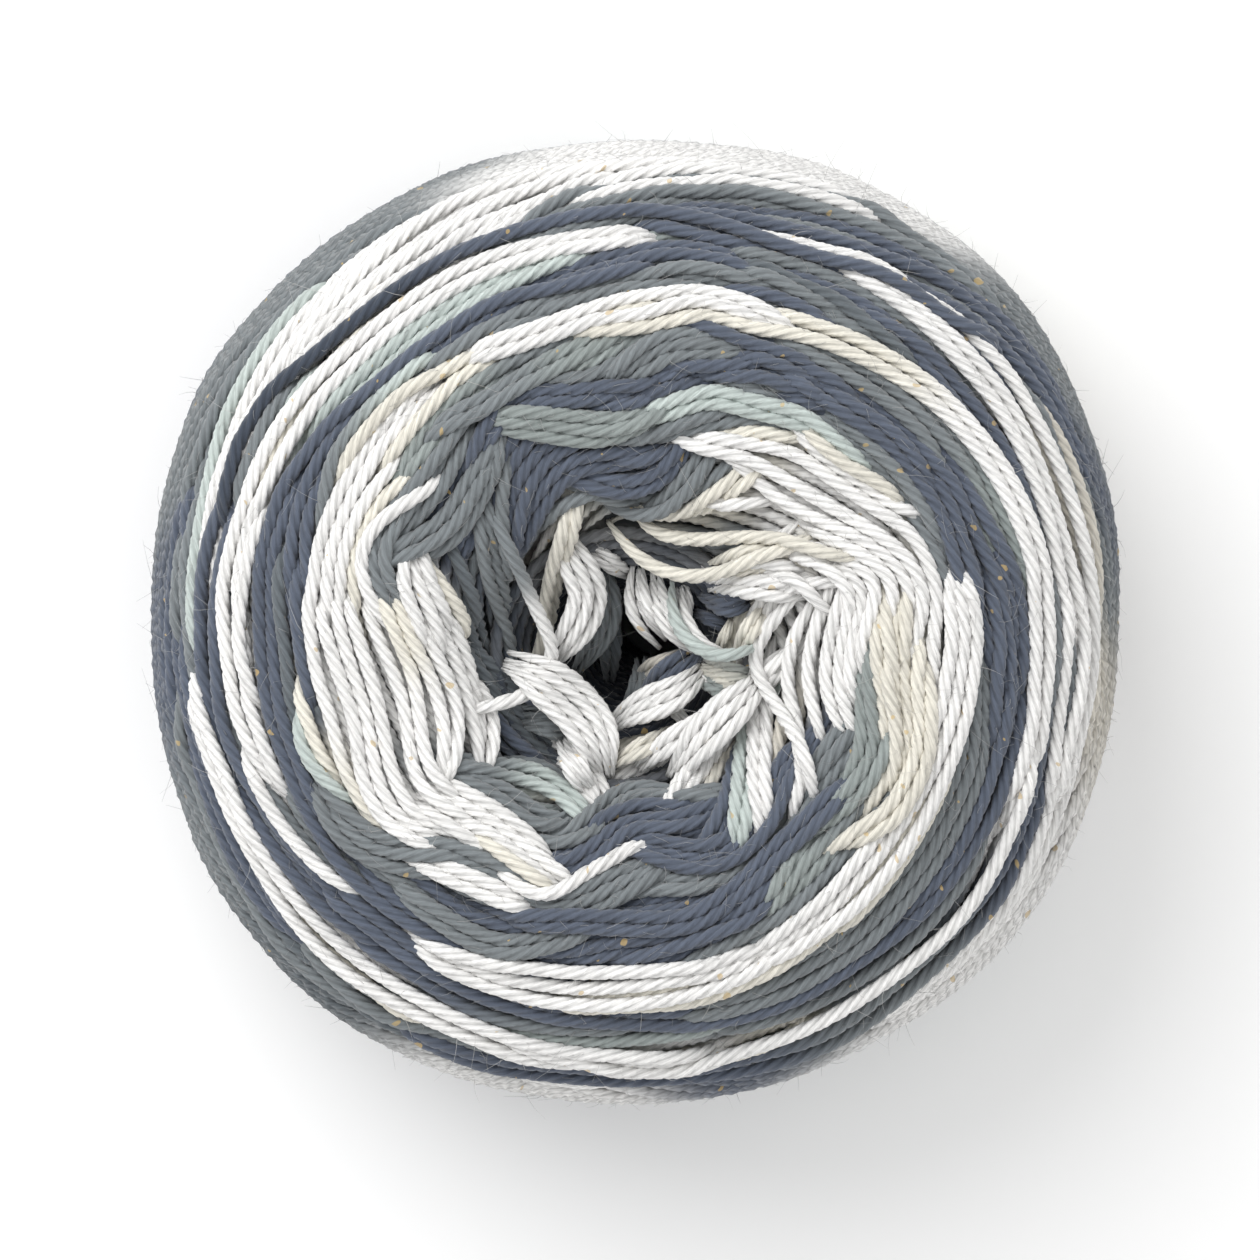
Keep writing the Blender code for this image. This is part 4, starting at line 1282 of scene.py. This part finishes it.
@lru_cache(maxsize=None)
def cotton():
    """Matte plied cotton: fibres along each ply, painted shade in the grooves between the plies, and a soft
    fibre bump.
    """
    yarn = settings().yarn
    material, shader, nodes = new_material("dyed_cotton_yarn", Roughness=0.88, Sheen_Weight=0.25,
                                           Sheen_Roughness=0.6, Specular_IOR_Level=0.25)
    tree = material.node_tree
    place = nodes.out(nodes.make("ShaderNodeUVMap", {"uv_map": "run_and_twist"}))
    split = nodes.make("ShaderNodeSeparateXYZ", Vector=place)
    run, twist = nodes.out(split, 0), nodes.out(split, 1)
    ply_wave = nodes.math("COSINE", twist * (2 * math.pi * yarn.plies))
    groove = nodes.math("POWER", ply_wave * 0.5 + 0.5, 4.0)
    # fibres stretch along the strand and lean with the plies, and slow patches vary the dye
    fibres = nodes.make("ShaderNodeCombineXYZ", X=run * 0.55 + twist * 9.0, Y=twist * 27.0, Z=run * 0.11)
    fine = nodes.make("ShaderNodeTexNoise", {"noise_dimensions": "3D"}, Vector=nodes.out(fibres),
                      Scale=1.0, Detail=3.0, Roughness=0.6)
    slow = nodes.make("ShaderNodeCombineXYZ", X=run * 0.09, Y=twist * 3.0)
    patch = nodes.make("ShaderNodeTexNoise", {"noise_dimensions": "3D"}, Vector=nodes.out(slow),
                       Scale=1.0, Detail=2.0)
    fibre, cloudy = nodes.out(fine), nodes.out(patch)
    # painted shade: the dye is darkened in the grooves between the plies, over the fibres' own tone and the
    # slow patches of dye
    tone_and_groove_shade = (fibre * 0.9 + 0.52) * (cloudy * 0.24 + 0.88) * (1 - groove * 0.3)
    dye = nodes.out(nodes.make("ShaderNodeAttribute", {"attribute_name": "dye"}))
    mixed = nodes.make("ShaderNodeVectorMath", {"operation": "SCALE"}, s0=dye, Scale=tone_and_groove_shade)
    fleck_place = nodes.make("ShaderNodeCombineXYZ", X=run * 0.5, Y=twist * 2.5, Z=7.0)
    fleck_noise = nodes.make("ShaderNodeTexNoise", {"noise_dimensions": "3D"}, Scale=1.0, Detail=0.0,
                             Vector=nodes.out(fleck_place))
    fleck = nodes.math("GREATER_THAN", nodes.out(fleck_noise), FLECK_SHARE)
    flecked = nodes.make("ShaderNodeMix", {"data_type": "RGBA"}, s0=fleck * FLECK_STRENGTH,
                         s6=nodes.out(mixed), s7=(*FLECK_COLOUR, 1))
    tree.links.new(flecked.outputs[2], shader.inputs["Base Color"])
    height = fibre + cloudy * 0.3 - groove * 0.6
    bump = nodes.make("ShaderNodeBump", Height=height, Strength=0.8, Distance=yarn.fibre_depth)
    tree.links.new(bump.outputs[0], shader.inputs["Normal"])
    return material


def keep(piece, material):
    """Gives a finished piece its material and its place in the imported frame."""
    piece.data.materials.clear()
    piece.data.materials.append(material)
    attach(piece, BODY)
    return piece


# Rounds of evening out for the core, and the painted shade that darkens it, as a share of the colour of the
# nearest top strand.
CORE_ROUNDS, CORE_PAINTED_SHADE = 3, 0.55


class YARNCAKE_OT_core(Operator):
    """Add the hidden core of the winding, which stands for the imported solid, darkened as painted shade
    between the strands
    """
    bl_idname = "yarn_cake.core"
    bl_label = "Core"

    def execute(self, context):
        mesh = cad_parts[NODE].data.copy()
        core = bpy.data.objects.new("wound_core", mesh)
        context.collection.objects.link(core)
        body = bmesh.new()
        body.from_mesh(mesh)
        bmesh.ops.remove_doubles(body, verts=body.verts, dist=0.00001)
        for _ in range(CORE_ROUNDS):
            bmesh.ops.smooth_vert(body, verts=body.verts, factor=0.5,
                                  use_axis_x=True, use_axis_y=True, use_axis_z=True)
        body.normal_update()
        depth = settings().wind.core_depth
        for vert, normal in [(v, v.normal.copy()) for v in body.verts]:
            vert.co -= normal * depth
        body.to_mesh(mesh)
        body.free()
        for layer in list(mesh.color_attributes):
            mesh.color_attributes.remove(layer)
        points = np.empty(len(mesh.vertices) * 3)
        mesh.vertices.foreach_get("co", points)
        # painted shade: the core takes the colour of the nearest top strand, darkened, so that the gaps
        # between strands read dark
        colours = np.array([colour_finder()(point) for point in points.reshape(-1, 3) / MM]) * CORE_PAINTED_SHADE
        paint = mesh.color_attributes.new("dye", "FLOAT_COLOR", "POINT")
        opaque = np.concatenate([colours, np.ones((len(colours), 1))], axis=1)
        paint.data.foreach_set("color", opaque.astype(np.float32).ravel())
        mesh.shade_smooth()
        keep(core, core_cotton())
        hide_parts(NODE)
        return {"FINISHED"}


@lru_cache(maxsize=None)
def core_cotton():
    """The yarn deep in the winding, whose darkened dye is painted shade."""
    material, shader, nodes = new_material("deep_cotton", Roughness=0.95)
    tree = material.node_tree
    place = nodes.out(nodes.make("ShaderNodeTexCoord"), 3)
    waves = nodes.make("ShaderNodeTexNoise", Vector=place, Scale=700.0, Detail=3.0)
    dye = nodes.out(nodes.make("ShaderNodeAttribute", {"attribute_name": "dye"}))
    mixed = nodes.make("ShaderNodeVectorMath", {"operation": "SCALE"}, s0=dye,
                       Scale=nodes.out(waves) * 0.5 + 0.7)
    tree.links.new(mixed.outputs[0], shader.inputs["Base Color"])
    bump = nodes.make("ShaderNodeBump", Height=nodes.out(waves), Strength=0.5, Distance=0.0005)
    tree.links.new(bump.outputs[0], shader.inputs["Normal"])
    return material


class YARNCAKE_OT_base(Operator):
    """Lay the even turns that show between the loose locks"""
    bl_idname = "yarn_cake.base"
    bl_label = "Under Turns"

    def execute(self, context):
        keep(strand_mesh("under_turns", base_strands(), ROUGH_STEP, ROUGH_SIDES), cotton())
        return {"FINISHED"}


class YARNCAKE_OT_locks(Operator):
    """Lay the loose locks of the top and the slack loops of the mouth"""
    bl_idname = "yarn_cake.locks"
    bl_label = "Locks"

    def execute(self, context):
        for name, strands in laid_locks().items():
            keep(strand_mesh(name, strands, RING_STEP, FINE_SIDES), cotton())
        return {"FINISHED"}


class YARNCAKE_OT_wall(Operator):
    """Wind the crossed turns of the wall"""
    bl_idname = "yarn_cake.wall"
    bl_label = "Wall"

    def execute(self, context):
        for name, climbing in (("climbing_turns", True), ("falling_turns", False)):
            keep(strand_mesh(name, wall_strands(climbing), WALL_STEP, WALL_SIDES), cotton())
        return {"FINISHED"}


class YARNCAKE_OT_hairs(Operator):
    """Raise the loose fibre ends that give cotton its soft edge"""
    bl_idname = "yarn_cake.hairs"
    bl_label = "Loose Fibres"

    def execute(self, context):
        number = settings().wind.hairs
        top = [strand for group in laid_locks().values() for strand in group]
        wall = [strand for climbing in (True, False) for strand in wall_strands(climbing)]
        keep(hair_mesh("top_fibres", top, number), cotton())
        keep(hair_mesh("wall_fibres", wall, number // 2), cotton())
        return {"FINISHED"}


class YARNCAKE_OT_sole(Operator):
    """Wind the flat underside and the lining of the throat"""
    bl_idname = "yarn_cake.sole"
    bl_label = "Sole and Throat"

    def execute(self, context):
        keep(strand_mesh("sole_turns", sole_strands(), ROUGH_STEP, ROUGH_SIDES), cotton())
        keep(strand_mesh("throat_turns", [throat_strand()], ROUGH_STEP, ROUGH_SIDES), cotton())
        return {"FINISHED"}


# The stage in metres: the floor's side, the lamp's width and place, and the point that it shines at.
FLOOR_SIDE = 4
LAMP_WIDTH, LAMP_PLACE, LAMP_AIM = 0.9, (-0.45, 0.6, 0.95), (0, 0, 0.04)
FAR_CLIP = 20


class YARNCAKE_OT_stage(Operator):
    """Set the pale floor, the soft light and the camera over the cake"""
    bl_idname = "yarn_cake.stage"
    bl_label = "Stage"

    def execute(self, context):
        stage = settings().stage
        scene = context.scene
        bpy.ops.mesh.primitive_plane_add(size=FLOOR_SIDE)
        floor = context.object
        floor.name = "floor"
        material, _, _ = new_material("pale_floor", Base_Color=(*stage.floor, 1), Roughness=0.8)
        floor.data.materials.append(material)
        eye, _, _, _ = view_axes()
        camera = bpy.data.cameras.new("camera")
        camera.lens = camera.sensor_width * stage.distance / stage.field
        camera.clip_end = FAR_CLIP
        holder = bpy.data.objects.new("camera", camera)
        holder.location = eye * MM
        holder.rotation_euler.x = -stage.tilt
        context.collection.objects.link(holder)
        scene.camera = holder
        lamp = bpy.data.lights.new("soft_lamp", "AREA")
        lamp.shape = "DISK"
        lamp.size = LAMP_WIDTH
        lamp.energy = stage.lamp
        lamp_holder = bpy.data.objects.new("soft_lamp", lamp)
        lamp_holder.location = LAMP_PLACE
        aim = Vector(LAMP_AIM) - lamp_holder.location
        lamp_holder.rotation_euler = aim.to_track_quat("-Z", "Y").to_euler()
        context.collection.objects.link(lamp_holder)
        world = bpy.data.worlds.new("even_sky")
        world.use_nodes = True
        world.node_tree.nodes["Background"].inputs["Strength"].default_value = stage.sky
        world.node_tree.nodes["Background"].inputs["Color"].default_value = (1, 1, 1, 1)
        scene.world = world
        scene.view_settings.view_transform = "Standard"
        return {"FINISHED"}


class YARNCAKE_PT_panel(Panel):
    """Lists the cake's pieces in the sidebar"""
    bl_label = "Yarn Cake"
    bl_idname = "YARNCAKE_PT_panel"
    bl_space_type = "VIEW_3D"
    bl_region_type = "UI"
    bl_category = "Yarn Cake"

    def draw(self, context):
        for group in (context.scene.yarn_dye, context.scene.yarn_make, context.scene.yarn_wind,
                      context.scene.yarn_stage):
            box = self.layout.box()
            for name in group.__annotations__:
                box.prop(group, name)
        for step in STEPS:
            self.layout.operator(step.bl_idname)


GROUPS = {"yarn_dye": DyeSettings, "yarn_make": YarnSettings, "yarn_wind": WindingSettings,
          "yarn_stage": StageSettings}
STEPS = (YARNCAKE_OT_stage, YARNCAKE_OT_core, YARNCAKE_OT_base, YARNCAKE_OT_locks, YARNCAKE_OT_wall,
         YARNCAKE_OT_sole, YARNCAKE_OT_hairs)


def register():
    """Adds the settings, the steps and the panel to Blender."""
    for kind in (*GROUPS.values(), *STEPS, YARNCAKE_PT_panel):
        bpy.utils.register_class(kind)
    for name, kind in GROUPS.items():
        setattr(bpy.types.Scene, name, PointerProperty(type=kind))


def unregister():
    """Takes them away again."""
    for name in GROUPS:
        delattr(bpy.types.Scene, name)
    for kind in reversed((*GROUPS.values(), *STEPS, YARNCAKE_PT_panel)):
        bpy.utils.unregister_class(kind)


def main():
    """Builds the cake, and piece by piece."""
    register()
    bpy.ops.object.select_all(action="DESELECT")
    bpy.ops.yarn_cake.stage()
    bpy.ops.yarn_cake.core()
    bpy.ops.yarn_cake.base()
    bpy.ops.yarn_cake.locks()
    bpy.ops.yarn_cake.wall()
    bpy.ops.yarn_cake.sole()
    bpy.ops.yarn_cake.hairs()


if __name__ == "__main__":
    main()
